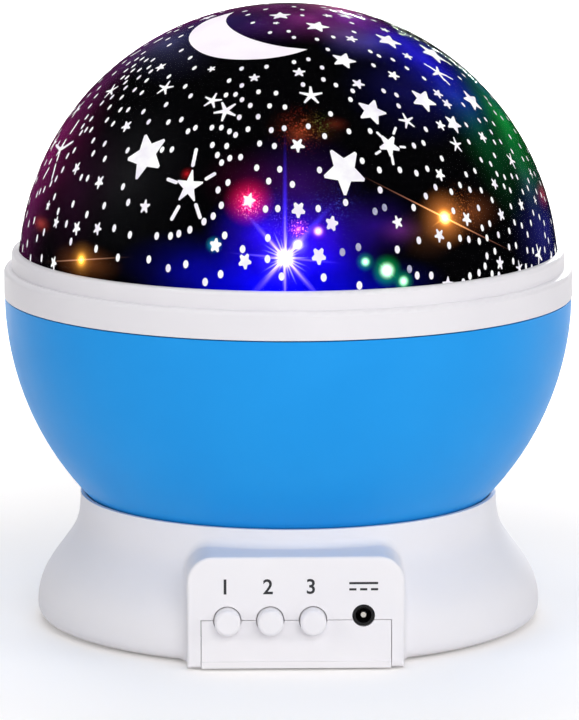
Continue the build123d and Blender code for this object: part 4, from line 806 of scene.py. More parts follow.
def soft_ball(tree, place, spot, axes, halves):
    """One in the middle of a patch and zero outside it. axes are its three directions."""
    local = add(tree, "ShaderNodeMapping", {
        "Vector": place, "Location": DOME_CENTRE + spot * FILM_RADIUS,
        "Rotation": Matrix(axes).transposed().to_euler(), "Scale": halves}, vector_type="TEXTURE")
    return add(tree, "ShaderNodeTexGradient", {"Vector": local.outputs[0]}, gradient_type="QUADRATIC_SPHERE")


def round_ball(spot, radius, colour, strength):
    """A round patch: its spot, directions, half widths, colour and strength."""
    around, rising = sides(spot)
    return spot, (around, rising, spot), (radius * MM,) * 3, colour, strength


def patch_ball(place, wide, high, turn, colour, strength):
    """A patch pulled out along two directions of the film."""
    spot = film_spot(*place)
    around, rising = sides(spot)
    along = around * cos(radians(turn)) + rising * sin(radians(turn))
    halves = (wide * MM, high * MM, max(wide, high) * MM)
    return spot, (along, spot.cross(along), spot), halves, colour, strength


def ray_ball(start, end, half, colour, strength):
    """A flat ball in the plane of the eye and a straight line of the image."""
    first, last = film_spot(*start), film_spot(*end)
    spot = film_spot((start[0] + end[0]) / 2, (start[1] + end[1]) / 2)
    along = (last - first).normalized()
    across = along.cross(DOME_CENTRE + spot * FILM_RADIUS - camera.location).normalized()
    length = (last - first).length * FILM_RADIUS / 2
    return spot, (along, across, along.cross(across)), (length, half * MM, length), colour, strength


def film_finish():
    """Black ink over clear foil, lit from behind."""
    made, tree, out = new_material("printed_polyester_film")
    place = place_of(tree)

    def add_up(balls):
        """The light of several balls."""
        total = (0, 0, 0)
        for spot, axes, halves, colour, strength in balls:
            ball = soft_ball(tree, place, spot, axes, halves)
            light = [c * strength for c in linear(colour)[:3]]
            total = add(tree, "ShaderNodeVectorMath", {0: ball.outputs["Fac"], 1: light, 2: total},
                        operation="MULTIPLY_ADD").outputs[0]
        return total

    def uneven(light, size_mm, detail, noise_range, light_range):
        """Light that a noise makes weaker and stronger."""
        share = add(tree, "ShaderNodeMapRange", {
            "Value": noise(tree, place, size_mm, detail),
            "From Min": noise_range[0], "From Max": noise_range[1],
            "To Min": light_range[0], "To Max": light_range[1]})
        return add(tree, "ShaderNodeVectorMath", {0: light, "Scale": share.outputs[0]},
                   operation="SCALE").outputs[0]

    behind = [round_ball(from_behind(BACK_PATCH_HEIGHTS), random.uniform(*BACK_PATCH_SIZES),
                         random.choice(BACK_PALETTE), BACK_LIGHT) for i in range(BACK_PATCHES)]
    hot = [(film_spot(*row[0]), *row[1:]) for row in HOT_SPOTS]
    for i in range(BACK_HOT_SPOTS):
        halo, core = random.choice(BACK_HOT)
        hot.append((from_behind(BACK_HOT_HEIGHTS), random.uniform(*BACK_HALO_SIZES), halo, core,
                    random.uniform(*BACK_CORE_SIZES)))
    cores = []
    for spot, halo, halo_colour, core_colour, core in hot:
        cores += [round_ball(spot, halo, halo_colour, HALO_LIGHT),
                  round_ball(spot, core, core_colour, CORE_LIGHT)]
    sparks = [round_ball(film_spot(*row[0]), *row[1:]) for row in SPARKS]

    clouds = uneven(add_up([patch_ball(*row) for row in PATCHES]), CLOUD_SIZE, 5.0,
                    (NOISE_LOW, NOISE_HIGH), CLOUD_LIGHT)
    glow = add(tree, "ShaderNodeBsdfPrincipled", {
        "Base Color": linear("#060608"), "Roughness": 0.5, "Specular IOR Level": 0.0,
        "Emission Color": clouds, "Emission Strength": 1.0})
    for light in (add_up(behind), add_up(cores), add_up([ray_ball(*row) for row in RAYS]),
                  uneven(add_up(sparks), SPARK_SIZE, 1.0, SPARK_NOISE, (0.0, 1.0))):
        more = add(tree, "ShaderNodeEmission", {"Color": light, "Strength": 1.0})
        glow = add(tree, "ShaderNodeAddShader", {0: glow.outputs[0], 1: more.outputs[0]})
    tree.links.new(glow.outputs[0], out.inputs["Surface"])
    return made


film.data.materials.append(film_finish())
print("film material of", len(film.data.materials[0].node_tree.nodes), "nodes")

# %% [markdown]
# ## Stars, dots and the moon
# The motifs are clear windows in the ink, and the light behind them makes them white. Forming the
# film over a mould pulled it upwards, so every dot is a little taller than wide, and so are the
# stars. A motif is a thin chip of mesh: its outline is drawn flat, filled with rings, and every
# point of the rings is laid on the ball.

# %% Lay a flat outline on the film
PRINT_LIFT = 0.05 * MM
PRINT_THICKNESS = 0.04 * MM


def on_film(spot, x, y):
    """The point x metres around the dome and y metres up it from a spot."""
    around, rising = sides(spot)
    direction = (spot * FILM_RADIUS + around * x + rising * y).normalized()
    return DOME_CENTRE + direction * (FILM_RADIUS + PRINT_LIFT)


def lay(store, spot, outline, rings=1):
    """Fill a flat outline with rings round a spot, and add it to the store of points and faces."""
    points, faces = store
    first = len(points)
    count = len(outline)
    points.append(on_film(spot, 0, 0))
    for ring in range(1, rings + 1):
        points.extend(on_film(spot, x * ring / rings, y * ring / rings) for x, y in outline)
    for k in range(count):
        after = (k + 1) % count
        faces.append((first, first + 1 + k, first + 1 + after))
        for ring in range(rings - 1):
            low = first + 1 + ring * count
            faces.append((low + k, low + count + k, low + count + after, low + after))


def measure(spot, other):
    """How far another spot lies around the dome and up it, in metres."""
    around, rising = sides(spot)
    step = other * FILM_RADIUS / other.dot(spot)
    return step.dot(around), step.dot(rising)


print("print", round(PRINT_THICKNESS / MM, 2), "mm thick,", round(PRINT_LIFT / MM, 2), "mm over the film")

# %% [markdown]
# Dots are drawn as ovals with twelve corners, which look round at their size. A star is drawn arm by
# arm, and three values shape it: its radius, how deep the notches go and how blunt the arms end.

# %% Outlines of dots and stars
DOT_POINTS = 12
DOT_SIZE = 1.05
DOT_WIDE = 0.66 * MM
DOT_HIGH = 0.92 * MM
DOT_SHRINK = 0.34
DOT_NARROW = 0.32
# from this far right, as a share of the radius, the dots shrink to the right too
DOT_RIGHT = 0.35
DOT_SHRINK_RIGHT = 0.32
PULL = 1.22
PULL_ENDS = 0.5


def dot_outline(spot):
    """A dot, taller than wide, smaller high up and far right on the ball, and narrower at its sides."""
    size = DOT_SIZE - DOT_SHRINK * spot.z - DOT_SHRINK_RIGHT * max(spot.x - DOT_RIGHT, 0)
    wide = size * DOT_WIDE * (1 - DOT_NARROW * spot.x ** 2)
    high = size * DOT_HIGH
    angles = [2 * pi * k / DOT_POINTS for k in range(DOT_POINTS)]
    return [(wide * cos(angle), high * sin(angle)) for angle in angles]


def pull_at(spot):
    """How much taller than wide a star is: the film was pulled less near the top of the mould."""
    return max(PULL - max(spot.z - PULL_ENDS, 0), 1.0)


def star_outline(radius, turn, waist, blunt, pull=PULL):
    """Five arms. waist is how near the notches come to the middle, blunt the width of an arm's end."""
    outline = []
    for arm in range(5):
        angle = turn + 2 * pi * arm / 5
        end = Vector((cos(angle), sin(angle))) * radius
        half = Vector((-sin(angle), cos(angle))) * radius * blunt
        notch = Vector((cos(angle + pi / 5), sin(angle + pi / 5))) * radius * waist
        outline += [end - half, end + half, notch]
    return [(p.x, p.y * pull) for p in outline]


def star_at(store, middle, end, waist, blunt):
    """A star given by its middle and the end of one arm, both as points of the image."""
    spot = film_spot(*middle)
    pull = pull_at(spot)
    x, y = measure(spot, film_spot(*end))
    y /= pull
    lay(store, spot, star_outline(hypot(x, y), atan2(y, x), waist, blunt, pull), rings=3)


print("stars are pulled", PULL, "times taller than wide")

# %% [markdown]
# Dashes have round ends and are short enough to be laid in one piece. The finest lines are longer,
# and a straight one on the ball would look bent, so those are built step by step along the image.

# %% Dashes and fine lines
END_STEPS = 3
LINE_STEPS = 6
LINE_TIP = 0.5


def bar_at(store, start, end, half):
    """A dash with round ends between two points of the image."""
    first, last = film_spot(*start), film_spot(*end)
    spot = (first + last).normalized()
    x, y = measure(spot, first)
    length, turn = hypot(x, y), atan2(y, x)
    outline = []
    for k in range(-END_STEPS, END_STEPS + 1):
        angle = k * pi / (2 * END_STEPS)
        outline.append((length - half + half * cos(angle), half * sin(angle)))
    outline += [(-px, -py) for px, py in outline]
    turned = [(px * cos(turn) - py * sin(turn), px * sin(turn) + py * cos(turn)) for px, py in outline]
    lay(store, spot, turned, rings=2)


def line_at(store, start, end, half):
    """A thin line that looks straight from the front, and narrower at its ends."""
    points, faces = store
    first = len(points)
    places = [Vector(start).lerp(Vector(end), k / LINE_STEPS) for k in range(LINE_STEPS + 1)]
    spots = [film_spot(*place) for place in places]
    for k, spot in enumerate(spots):
        around, rising = sides(spot)
        along = spots[min(k + 1, LINE_STEPS)] - spots[max(k - 1, 0)]
        across = spot.cross(along).normalized() * half * (LINE_TIP if k in (0, LINE_STEPS) else 1.0)
        for side in (-1, 1):
            points.append(on_film(spot, across.dot(around) * side, across.dot(rising) * side))
    for k in range(LINE_STEPS):
        low = first + 2 * k
        faces.append((low, low + 1, low + 3, low + 2))


print("fine lines in", LINE_STEPS, "steps")

# %% [markdown]
# The front of the print is set out star by star and dot by dot. The stars come in kinds:
# plump ones, small ones, broad ones in the glow of the middle, thin ones, and one with rays.

# %% Stars in the image: middle, end of one arm
PLUMP_STARS = [
    ((146.1, 155.5), (145.5, 134.9)), ((344.3, 170.6), (345, 195.2)), ((371.8, 111.5), (358.8, 103.1)),
    ((423.5, 100.1), (412, 90.8)), ((343.8, 60.3), (332.9, 55.1)), ((317, 26.3), (306.4, 23)),
    ((388.4, 40.6), (375.9, 34.4)), ((433, 54), (419.7, 44.6)), ((453.4, 123.8), (445.4, 116.7)),
    ((280.2, 15.5), (269.6, 15.1)), ((472, 100.8), (463.7, 90.6)), ((447.9, 285), (447.9, 276.4)),
    ((160.6, 67), (166.1, 63.8)), ((248.9, 200.5), (251.2, 192.9)),
]
SMALL_STARS = [
    ((389.2, 145.4), (393.5, 137)), ((211.6, 68.9), (215.2, 66.7)), ((254.3, 77.8), (254.6, 74)),
    ((126.4, 126.2), (131.3, 121.7)), ((276, 23), (279.5, 23)), ((327.8, 15.6), (322.7, 15)),
    ((351.4, 38.8), (345.7, 36.4)),
    ((384.9, 29.9), (380.4, 27.8)), ((299.1, 72.3), (299.1, 68)), ((358.1, 83.8), (352.7, 80.1)),
    ((393.5, 75.2), (388.2, 71.4)), ((407.6, 56.1), (402.4, 53.3)), ((437.9, 93.6), (433.1, 89.5)),
    ((447.1, 103.8), (442.2, 99.9)), ((440.7, 125.2), (435.9, 121.8)), ((297.6, 145.3), (298.2, 152.5)),
    ((60.2, 149.6), (63.6, 146.8)), ((76.4, 168.2), (80, 162.4)), ((99.4, 182), (103.4, 176.4)),
    ((144.8, 206.7), (146.1, 199.6)),
    ((48.1, 205.5), (49.5, 200.4)), ((56.1, 222.4), (57.8, 216.4)), ((76.6, 228.2), (79.4, 221.8)),
    ((97.5, 228.6), (100, 222.4)), ((53.6, 263), (55.2, 256.6)), ((482.7, 137), (478.4, 132.5)),
    ((440, 174.6), (435.8, 169.7)), ((494.5, 183.8), (491.5, 178.8)), ((466.7, 218.8), (463.4, 212.7)),
    ((501.2, 214.7), (499.4, 208.5)), ((521.2, 204.8), (519.4, 198.8)), ((439.4, 235.4), (439.4, 242.4)),
    ((397.6, 222.2), (396.4, 228.5)), ((500, 263.2), (499.8, 256.4)), ((551.5, 256.4), (550.5, 251)),
]
BROAD_STARS = [
    ((298.4, 209.8), (298.2, 218.0)), ((331.8, 223.6), (332.9, 216.2)), ((318.8, 256.0), (319.2, 264.8)),
    ((244.8, 261.2), (245.5, 269.2)), ((215.5, 245.4), (216.5, 238.2)),
]
THIN_STARS = [
    ((165.1, 88), (157, 93.6)), ((212.4, 100.6), (204, 106)), ((225.6, 111), (221.8, 121.2)),
    ((311, 95.4), (310.4, 86.5)), ((406.9, 121), (402.7, 113.1)), ((456.3, 144.8), (453.5, 137)),
    ((111, 90.8), (104.5, 97.8)), ((511.5, 160.6), (506.7, 154.8)),
    ((519.4, 268), (518.2, 275)), ((538.8, 254.5), (536.4, 244.2)), ((530.9, 173), (530.2, 169.2)),
    ((535.2, 200), (534.4, 195.6)), ((438.2, 72.6), (436.8, 66.6)),
]
RAY_STARS = [((189.1, 186.7), (192.6, 170))]
# kind: its stars, its waist and its blunt
STAR_KINDS = {
    "plump": (PLUMP_STARS, 0.52, 0.06),
    "small": (SMALL_STARS, 0.50, 0.12),
    "broad": (BROAD_STARS, 0.62, 0.16),
    "thin": (THIN_STARS, 0.29, 0.08),
    "rayed": (RAY_STARS, 0.42, 0.05),
}
for kind, (places, waist, blunt) in STAR_KINDS.items():
    print(len(places), kind, "stars")

# %% [markdown]
# Some stars have dashes round them, and near the dome's edge a few stars shrink to thin strokes.
# The strokes have four widths.

# %% Dashes in the image: from, to
DASHES = [
    ((196.6, 148), (192.6, 167)), ((166.7, 178.8), (177.6, 183)), ((204.7, 179.8), (216.1, 173)),
    ((179.6, 205.2), (170.9, 220.6)), ((195.4, 203.2), (200.6, 219)),
]
FINE_DASHES = [
    ((376.4, 131.8), (381.6, 137)), ((396, 127), (393.2, 134.5)), ((399.3, 146.7), (405.9, 147.4)),
    ((391.5, 154.5), (393.5, 165.2)), ((375.2, 154.4), (380.9, 150.7)),
]
HAIR_LINES = [((424, 63.4), (428.9, 66.6)), ((446.0, 75.7), (453.0, 79.4)), ((443.8, 78.6), (450.0, 85.2))]
EDGE_LINES = [
    ((79.3, 119.8), (69.8, 134.2)), ((49.3, 167.3), (43, 179)), ((55.9, 163.5), (51.6, 180)),
    ((130, 56.4), (141, 49.8)), ((153.5, 43), (161, 38.6)), ((60.6, 149.5), (66.3, 138.9)),
    ((60.2, 150), (73.4, 141.3)), ((60.6, 150), (55.9, 144.8)), ((60.8, 148.5), (56.6, 161.5)),
]
# how a stroke is drawn, its places, and half its width in millimetres
STROKES = [
    (bar_at, DASHES, 0.42),
    (bar_at, FINE_DASHES, 0.30),
    (line_at, HAIR_LINES, 0.24),
    (line_at, EDGE_LINES, 0.36),
]
print(sum(len(places) for draw, places, half in STROKES), "strokes")

# %% [markdown]
# Dots are smaller and come in loose rows. Each is one point of the image, and there is a list for
# each part of the dome. A few dots to the right of the middle lamp are dimmer.

# %% Dots in the image
DOTS_TOP = [
    (248, 14.7), (252.8, 22.7), (270, 32.5), (288.7, 31.3), (293.9, 37.4), (181, 36.1), (190.9, 27),
    (176.5, 30.6), (167.9, 38.9), (169.3, 44.9), (181.3, 50.4), (190.2, 57.8), (194.4, 68), (241.6, 68.6),
    (266.5, 66.7), (294, 62.1), (294, 6.6), (302.3, 9.6), (302.3, 15.3), (351.8, 23), (354, 31.9),
    (333.3, 37), (317, 39.3), (327.8, 49.4), (370.3, 51.4), (378.9, 55.9), (392.9, 59.7), (373.5, 65.3),
    (406.9, 68.2), (308.4, 59.3), (322.1, 67.6), (401.2, 34.2), (373.8, 20.4),
]
DOTS_UPPER_LEFT = [
    (143.4, 52.9), (136.6, 59.1), (142.1, 58.7), (146.3, 60.2), (152.9, 59.9), (128.3, 63.5), (124.2, 61.9),
    (133.8, 65.7), (148.9, 67.2), (125.9, 70.5), (132.8, 70.4), (139.5, 69.9), (150.8, 71.4), (114.3, 73.3),
    (122.7, 77.4), (127, 77.4), (138.9, 77.4), (146.6, 80.4), (134.7, 89.7), (141.8, 92.7), (125.5, 87.8),
    (125.5, 82.3), (120.4, 109.7), (128.2, 109.7), (121.7, 97.3), (109.6, 107.1), (107, 119.9),
    (113.1, 123.7), (168.9, 76.5), (185.2, 86.4), (190.6, 95.9), (166.1, 104.6), (143.4, 111.6),
    (148.7, 121.8), (168.4, 122.1), (181.4, 119.5), (86.7, 117), (91.3, 118.8), (82.8, 126.1),
    (86.1, 129.7), (91.2, 129.7),
    (81, 132.7), (93.3, 140.4), (104.7, 143.7), (112, 97), (99, 88), (96, 96), (102, 103), (90, 106),
]
DOTS_UPPER_MIDDLE = [
    (229.1, 80.6), (241.8, 85.5), (226, 95), (235.6, 94.4), (242, 99.7), (258.5, 91.8), (276, 93.1),
    (250.3, 105.5), (269.6, 105.9), (284.9, 107.1), (239.3, 117.3), (258.2, 116.7), (195.4, 127.8),
    (188, 131.3), (211.9, 127.6), (221.4, 127.6), (229.5, 131.4), (235.6, 134.9), (248, 129.2),
    (271.3, 130.1), (284.2, 128.2), (212.4, 145), (226.7, 146), (259.6, 143.5), (274.4, 146), (323.4, 79.5),
    (335.9, 85.1), (303, 84.6), (352.7, 90.9), (350.5, 99.5), (330.6, 113.9), (308.3, 126.3),
    (324.6, 136.1), (348.9, 131.4), (370.2, 131.1), (217.4, 155.1), (229.8, 158.2), (240.6, 157.2),
    (221.6, 162.6), (256.7, 167.8), (279.7, 169.3), (319.5, 170), (362.2, 160.8), (379.4, 170),
]
DOTS_UPPER_RIGHT = [
    (424.1, 78.4), (383.6, 90.9), (396.5, 95), (398.6, 105.9), (425.8, 129.3), (413.9, 145.6),
    (423.5, 143), (466.3, 124.8), (463.3, 104.6), (459.8, 78), (463.7, 75.3), (468.8, 141.8), (479.2, 120.4),
    (485.7, 119.4), (493.6, 123.6), (495.2, 112.7), (491.2, 131.9), (494.5, 142.1), (500.6, 141.6),
    (510.1, 136.7), (512.1, 151.3), (494.5, 155.4), (481.2, 159.8), (490.7, 163.9), (441.8, 158.5),
    (523, 159), (486, 98), (490, 104), (502, 118), (520, 146),
]
DOTS_LOWER_LEFT = [
    (93.3, 153.3), (104.8, 158.8), (127.6, 150.3), (162.1, 149.7), (171.9, 149.5), (74.2, 150.3),
    (67.5, 155.8), (62.7, 169.7), (56.1, 178.8), (81.2, 177.3), (87.6, 178.2), (123, 186.7), (50.9, 183.6),
    (44.2, 189.5), (40, 191.5), (37, 194.3), (54.5, 196.7), (73, 204), (104.2, 205.7), (128.2, 202.4),
    (58.2, 211.3), (86.9, 214.5), (66.4, 223.9), (114.2, 228.2), (129.9, 234.9), (70.9, 241.6), (96.1, 248.8),
    (117.9, 257.6), (148.8, 259.4), (156.7, 236), (170.5, 236), (178.8, 233.7), (189.9, 229.8),
    (168.2, 268.2), (185.8, 264.2), (43.9, 232.1), (37, 238.2), (34.2, 220.4), (28.7, 223.6), (26.9, 214.2),
    (41.6, 258.2), (30.5, 258.2),
]
DOTS_LOWER_MIDDLE = [
    (228, 182.5), (268.7, 181.1), (292.4, 184.4), (218.1, 190), (380.1, 190), (221.3, 205.3), (213.2, 216.1),
    (204, 221.6), (265.5, 209.1), (277.8, 208.6), (318.2, 208.6), (345.6, 202.5), (224.7, 235.4),
    (267.8, 238), (242.6, 249.1), (267.5, 259), (220.6, 274.2), (205.1, 282), (281.6, 276.5),
    (323.7, 277.5), (359.4, 285.4),
]
DOTS_LOWER_RIGHT = [
    (399.8, 169.9), (416.4, 173.1), (427.3, 168.8), (466.1, 174.3), (474.9, 170.9), (497, 173.9),
    (504.6, 177), (511.8, 176.1), (517, 177), (504.2, 186.3), (510.3, 190.3), (435.5, 187.3), (451.3, 191.8),
    (460, 185.1), (469.9, 189.7), (481.2, 190.3), (425.8, 196.1), (413.6, 207.6), (492.1, 200),
    (510.9, 206.3), (453.3, 210.9), (478.5, 207.9), (482.2, 227.9), (489.7, 223.6), (514.5, 222.4),
    (521.8, 225.5), (509.3, 230.9), (498.4, 234.8), (487, 237.9), (460, 238.2), (468.8, 239.4),
    (479.2, 241.2), (449.1, 245.5), (418.8, 240.4), (397.3, 249.5), (509.1, 247), (516, 245.5),
    (494.9, 251.2), (487, 256), (485.1, 266.1), (513.3, 261.2), (479, 272.7), (469.9, 276), (492.1, 273.9),
    (499, 275.2), (463.4, 282.2), (417.2, 275.5), (431.3, 275.5), (527.6, 234.5),
    (527.3, 250.3), (533, 250.7), (544.8, 249.7), (526, 266.7), (531.9, 267.6), (530.9, 222.8),
    (533.3, 212.7), (539.4, 217), (544.2, 223), (522.8, 191.8), (528.5, 180.6), (527.9, 188.1),
    (536.4, 191.5), (545.1, 235.2), (548.5, 240.6),
]
DIM_DOTS = [(342.4, 252.2), (358.4, 247.1), (375, 211.4), (384.5, 207.6), (409.5, 269.1)]
FRONT_DOTS = (DOTS_TOP + DOTS_UPPER_LEFT + DOTS_UPPER_MIDDLE + DOTS_UPPER_RIGHT + DOTS_LOWER_LEFT
              + DOTS_LOWER_MIDDLE + DOTS_LOWER_RIGHT)
print(len(FRONT_DOTS), "dots in front")

# %% [markdown]
# The crescent is the largest motif. It lies near the top of the dome, where the ball turns away
# from the eye, so its two edges are given as curves through a few image points and the space
# between them is filled with a grid.

# %% Crescent moon
MOON_OUTER = [
    (233.9, 12.1), (219.9, 15.9), (205.9, 21), (194.4, 28.7), (189, 36.5), (190.6, 44.2), (199.5, 51.7),
    (212.2, 56.5), (227.6, 58.9), (244.1, 59.6), (264.5, 58.7), (282.4, 56.2), (297, 52.9), (307.4, 49.4),
]
MOON_INNER = [
    (233.9, 12.1), (228.2, 15.9), (225.9, 20.6), (228.2, 25.6), (234.6, 31), (247.2, 37.4), (264.5, 42.9),
    (282.4, 46.6), (297, 48.3), (307.4, 49.4),
]
MOON_STEPS = 48
MOON_RINGS = 6


def along_curve(points, share):
    """The point at a share of the way along a smooth curve through points."""
    lengths = [0.0]
    for a, b in zip(points, points[1:]):
        lengths.append(lengths[-1] + hypot(b[0] - a[0], b[1] - a[1]))
    target = share * lengths[-1]
    k = min(max(i for i, length in enumerate(lengths) if length <= target), len(points) - 2)
    t = (target - lengths[k]) / (lengths[k + 1] - lengths[k])
    nearest = [min(max(i, 0), len(points) - 1) for i in range(k - 1, k + 3)]
    before, start, end, after = (Vector(points[i]) for i in nearest)
    return (start * 2 + (end - before) * t + (before * 2 - start * 5 + end * 4 - after) * t ** 2
            + (start * 3 - before - end * 3 + after) * t ** 3) / 2


def crescent(store):
    """A grid between the two edges of the moon."""
    points, faces = store
    first = len(points)
    for i in range(MOON_STEPS + 1):
        outer, inner = (along_curve(edge, i / MOON_STEPS) for edge in (MOON_OUTER, MOON_INNER))
        for k in range(MOON_RINGS + 1):
            points.append(on_film(film_spot(*outer.lerp(inner, k / MOON_RINGS)), 0, 0))
    row = MOON_RINGS + 1
    for i in range(MOON_STEPS):
        for k in range(MOON_RINGS):
            low = first + i * row + k
            faces.append((low, low + 1, low + row + 1, low + row))


moon = ([], [])
crescent(moon)
print("moon of", len(moon[1]), "faces")

# %% [markdown]
# Clear windows look white with a breath of lilac, because the light that fills them comes from the
# white lamp and a little from the coloured ones. Their light is even, with soft clouds in it. The
# moon has one of its own with broader clouds, and the dimmer dots have a greyer one.

# %% Light in the windows
LILAC_MIDDLE = (318, 234)
LILAC_RADIUS = 13
# the clouds start at the first value of their noise and are full at the second
WINDOW_NOISE = (0.42, 0.78)
WELD_DISTANCE = 0.002 * MM


def window_finish(name, light, cloud, lilac, cloud_mm):
    """Clear foil, lit from behind: nearly white, with soft clouds, and lilac over the middle lamp."""
    made, tree, out = new_material(name)
    place = place_of(tree)
    clouds = add(tree, "ShaderNodeMapRange", {
        "Value": noise(tree, place, cloud_mm, 3.0),
        "From Min": WINDOW_NOISE[0], "From Max": WINDOW_NOISE[1]})
    glow = add(tree, "ShaderNodeMix", {"Factor": clouds.outputs[0], 6: linear(light), 7: linear(cloud)},
               data_type="RGBA")
    near = soft_ball(tree, place, *round_ball(film_spot(*LILAC_MIDDLE), LILAC_RADIUS, lilac, 1.0)[:3])
    glow = add(tree, "ShaderNodeMix", {"Factor": near.outputs["Fac"], 6: glow.outputs[2], 7: linear(lilac)},
               data_type="RGBA")
    foil = add(tree, "ShaderNodeBsdfPrincipled", {
        "Base Color": linear("#202022"), "Roughness": 0.4, "Specular IOR Level": 0.0,
        "Emission Color": glow.outputs[2], "Emission Strength": 1.0})
    tree.links.new(foil.outputs[0], out.inputs["Surface"])
    return made


window_light = window_finish("clear_film_window", "#FFFFFF", "#E6DEF0", "#E8DAFB", cloud_mm=4.5)
dim_light = window_finish("clear_film_window_dim", "#B4B4CC", "#8A8AA8", "#A8A0D0", cloud_mm=1.0)
moon_light = window_finish("clear_film_moon", "#FFFAFF", "#F9EEFB", "#E8DAFB", cloud_mm=9.0)


def print_piece(name, store, light):
    """Turn a store of points and faces into a thin closed piece on the cover."""
    points, faces = store
    mesh = bmesh.new()
    corners = [mesh.verts.new(p) for p in points]
    for face in faces:
        mesh.faces.new([corners[k] for k in face])
    bmesh.ops.remove_doubles(mesh, verts=mesh.verts, dist=WELD_DISTANCE)
    bmesh.ops.recalc_face_normals(mesh, faces=mesh.faces)
    inward = [f for f in mesh.faces if f.normal.dot(f.calc_center_median() - DOME_CENTRE) < 0]
    bmesh.ops.reverse_faces(mesh, faces=inward)
    data = as_data(name, mesh)
    data.materials.append(light)
    made = put(name, data)
    thick = made.modifiers.new("thickness", "SOLIDIFY")
    thick.thickness, thick.offset = PRINT_THICKNESS, -1
    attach(made, "cover")
    print(name, len(data.polygons), "faces")


print_piece("print_moon", moon, moon_light)

# %% [markdown]
# All the stars and strokes go into one store, which becomes one piece once the back is filled too.

# %% Stars and strokes in front
stars = ([], [])
for places, waist, blunt in STAR_KINDS.values():
    for middle, end in places:
        star_at(stars, middle, end, waist, blunt)
for draw, places, half in STROKES:
    for start, end in places:
        draw(stars, start, end, half * MM)
print("stars and strokes of", len(stars[1]), "faces in front")

# %% [markdown]
# The rest of the dome, which the front view doesn't reach, gets the same kinds of motif at the same
# spacing, drawn from a fixed seed. A new motif is only kept where it clears those already there.

# %% Scatter over the rest
random.seed(5)
ATTEMPTS = 6000
SPACING = 3.4 * MM
SPACING_SPREAD = (0.8, 1.5)
BIG_STAR_ROOM = 1.9
FACING_LIMIT = 0.22
LOWEST = radians(5.5)
TOP = 0.995
# share of all motifs, with the kinds before it; radius in millimetres from, to; waist; blunt; rings
SCATTERED = [
    (0.06, 2.2, 3.8, 0.52, 0.06, 3),
    (0.16, 1.2, 1.7, 0.50, 0.12, 2),
    (0.21, 1.8, 2.4, 0.30, 0.09, 2),
]
dots = ([], [])
taken = [film_spot(*place) for place in FRONT_DOTS]
for spot in taken:
    lay(dots, spot, dot_outline(spot))
dim_dots = ([], [])
for place in DIM_DOTS:
    lay(dim_dots, film_spot(*place), dot_outline(film_spot(*place)))
for places, waist, blunt in STAR_KINDS.values():
    taken += [film_spot(*middle) for middle, end in places]


def seen_from_front(spot):
    """Whether the front view shows this spot well."""
    toward = (camera.location - DOME_CENTRE - spot * FILM_RADIUS).normalized()
    return toward.dot(spot) > FACING_LIMIT


for attempt in range(ATTEMPTS):
    turn, rise = random.uniform(0, 2 * pi), random.uniform(sin(LOWEST), TOP)
    flat = sqrt(1 - rise ** 2)
    spot = Vector((flat * cos(turn), flat * sin(turn), rise))
    kind = random.random()
    room = SPACING * random.uniform(*SPACING_SPREAD)
    room = room * (BIG_STAR_ROOM if kind < SCATTERED[0][0] else 1.0) / FILM_RADIUS
    if seen_from_front(spot) or any((spot - other).length < room for other in taken):
        continue
    taken.append(spot)
    for share, smallest, largest, waist, blunt, rings in SCATTERED:
        if kind < share:
            radius = random.uniform(smallest, largest) * MM
            lay(stars, spot, star_outline(radius, random.uniform(0, 2 * pi), waist, blunt), rings)
            break
    else:
        lay(dots, spot, dot_outline(spot))
print_piece("print_stars", stars, window_light)
print_piece("print_dots", dots, window_light)
print_piece("print_dim_dots", dim_dots, dim_light)

# %% [markdown]
# ## Print on the panel
# The three buttons are numbered, and a symbol over the inlet shows that it takes direct current: a
# bar over three dashes. They are printed in black ink with a rubber pad, which leaves a film that
# can just be felt. Figures come from Blender's own plain typeface, as a mesh with a little height.

# %% Black pad print
INK_HEIGHT = 0.03 * MM
LABEL_Z = 18.95 * MM
LABEL_SIZE = 3.4 * MM
LABEL_SHIFT = -0.5 * MM
# the figures' height before they are scaled, each way, and how much their strokes are fattened
FIGURE_DEPTH = 0.5
FIGURE_WEIGHT = 0.014
panel_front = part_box("base_shell")[0].y


def pad_ink():
    """Black ink, slightly glossy, thinner in tiny specks."""
    made, tree, out = new_material("black_pad_ink")
    specks = add(tree, "ShaderNodeMapRange", {
        "Value": noise(tree, place_of(tree), 0.25), "From Min": NOISE_LOW, "From Max": NOISE_HIGH}).outputs[0]
    tint = add(tree, "ShaderNodeMix", {"Factor": specks, 6: linear("#101014"), 7: linear("#1E1E24")},
               data_type="RGBA")
    ink = add(tree, "ShaderNodeBsdfPrincipled", {"Base Color": tint.outputs[2], "Roughness": 0.42})
    tree.links.new(ink.outputs[0], out.inputs["Surface"])
    return made


ink = pad_ink()


def on_panel(name, data):
    """Put a flat piece that was drawn in x and z on the panel's front."""
    data.materials.append(ink)
    made = put(name, data)
    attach(made, "base")


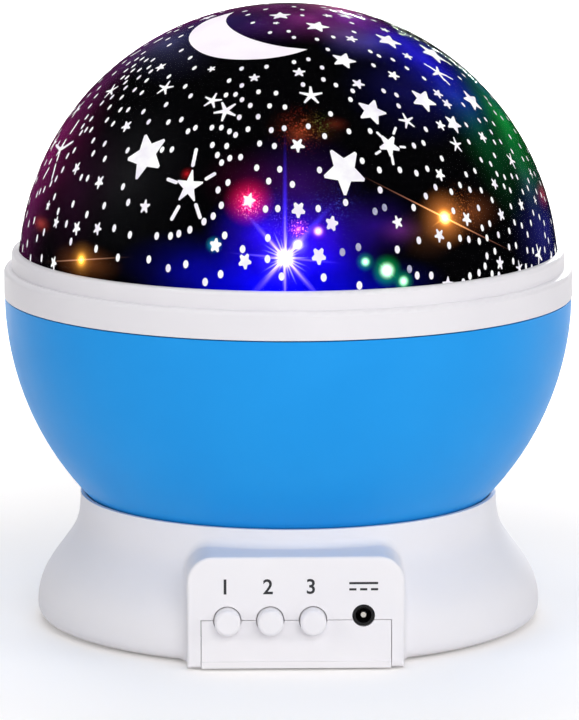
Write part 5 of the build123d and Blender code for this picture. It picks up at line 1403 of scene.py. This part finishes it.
def numeral(text, x):
    """A figure of the label's height, centred over x."""
    curve = bpy.data.curves.new("numeral", "FONT")
    curve.body = text
    curve.extrude = FIGURE_DEPTH
    curve.offset = FIGURE_WEIGHT
    shape = put("numeral", curve)
    bpy.context.view_layer.update()
    data = bpy.data.meshes.new_from_object(shape.evaluated_get(bpy.context.evaluated_depsgraph_get()))
    bpy.data.objects.remove(shape)
    low_x, high_x = (pick(p.co.x for p in data.vertices) for pick in (min, max))
    low_y, high_y = (pick(p.co.y for p in data.vertices) for pick in (min, max))
    scale = LABEL_SIZE / (high_y - low_y)
    for p in data.vertices:
        p.co = (x + (p.co.x - (low_x + high_x) / 2) * scale,
                panel_front - (p.co.z + FIGURE_DEPTH) * INK_HEIGHT,
                LABEL_Z + (p.co.y - (low_y + high_y) / 2) * scale)
    on_panel("print_" + text, data)


for text in ("1", "2", "3"):
    low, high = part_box("button_" + text)
    numeral(text, (low.x + high.x) / 2 + LABEL_SHIFT)
print("three figures,", round(LABEL_SIZE / MM, 1), "mm high")

# %% [markdown]
# The symbol is as wide as its upper bar. Below it lie three dashes of a quarter of that width, with
# gaps of half a dash. Each bar is a small block of ink.

# %% Direct current symbol
SYMBOL_WIDTH = 6.4 * MM
SYMBOL_HEIGHT = 1.9 * MM
STROKE = 0.5 * MM
# from one dash to the next, in dashes
DASH_PITCH = 1.5
jack_low, jack_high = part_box("dc_jack")


def bar(mesh, left, low, wide):
    """A flat bar of ink with a little height."""
    corners = []
    for depth in (0.0, INK_HEIGHT):
        for x, z in ((left, low), (left + wide, low), (left + wide, low + STROKE), (left, low + STROKE)):
            corners.append(mesh.verts.new((x, panel_front - depth, z)))
    for face in ((0, 1, 2, 3), (7, 6, 5, 4), (1, 0, 4, 5), (2, 1, 5, 6), (3, 2, 6, 7), (0, 3, 7, 4)):
        mesh.faces.new([corners[k] for k in face])


symbol = bmesh.new()
symbol_left = (jack_low.x + jack_high.x) / 2 - SYMBOL_WIDTH / 2
dash = SYMBOL_WIDTH / 4
bar(symbol, symbol_left, LABEL_Z + SYMBOL_HEIGHT / 2 - STROKE, SYMBOL_WIDTH)
for k in range(3):
    bar(symbol, symbol_left + k * dash * DASH_PITCH, LABEL_Z - SYMBOL_HEIGHT / 2, dash)
bmesh.ops.recalc_face_normals(symbol, faces=symbol.faces)
on_panel("print_direct_current", as_data("print_direct_current", symbol))
print("panel printed at y =", round(panel_front / MM, 2), "mm")
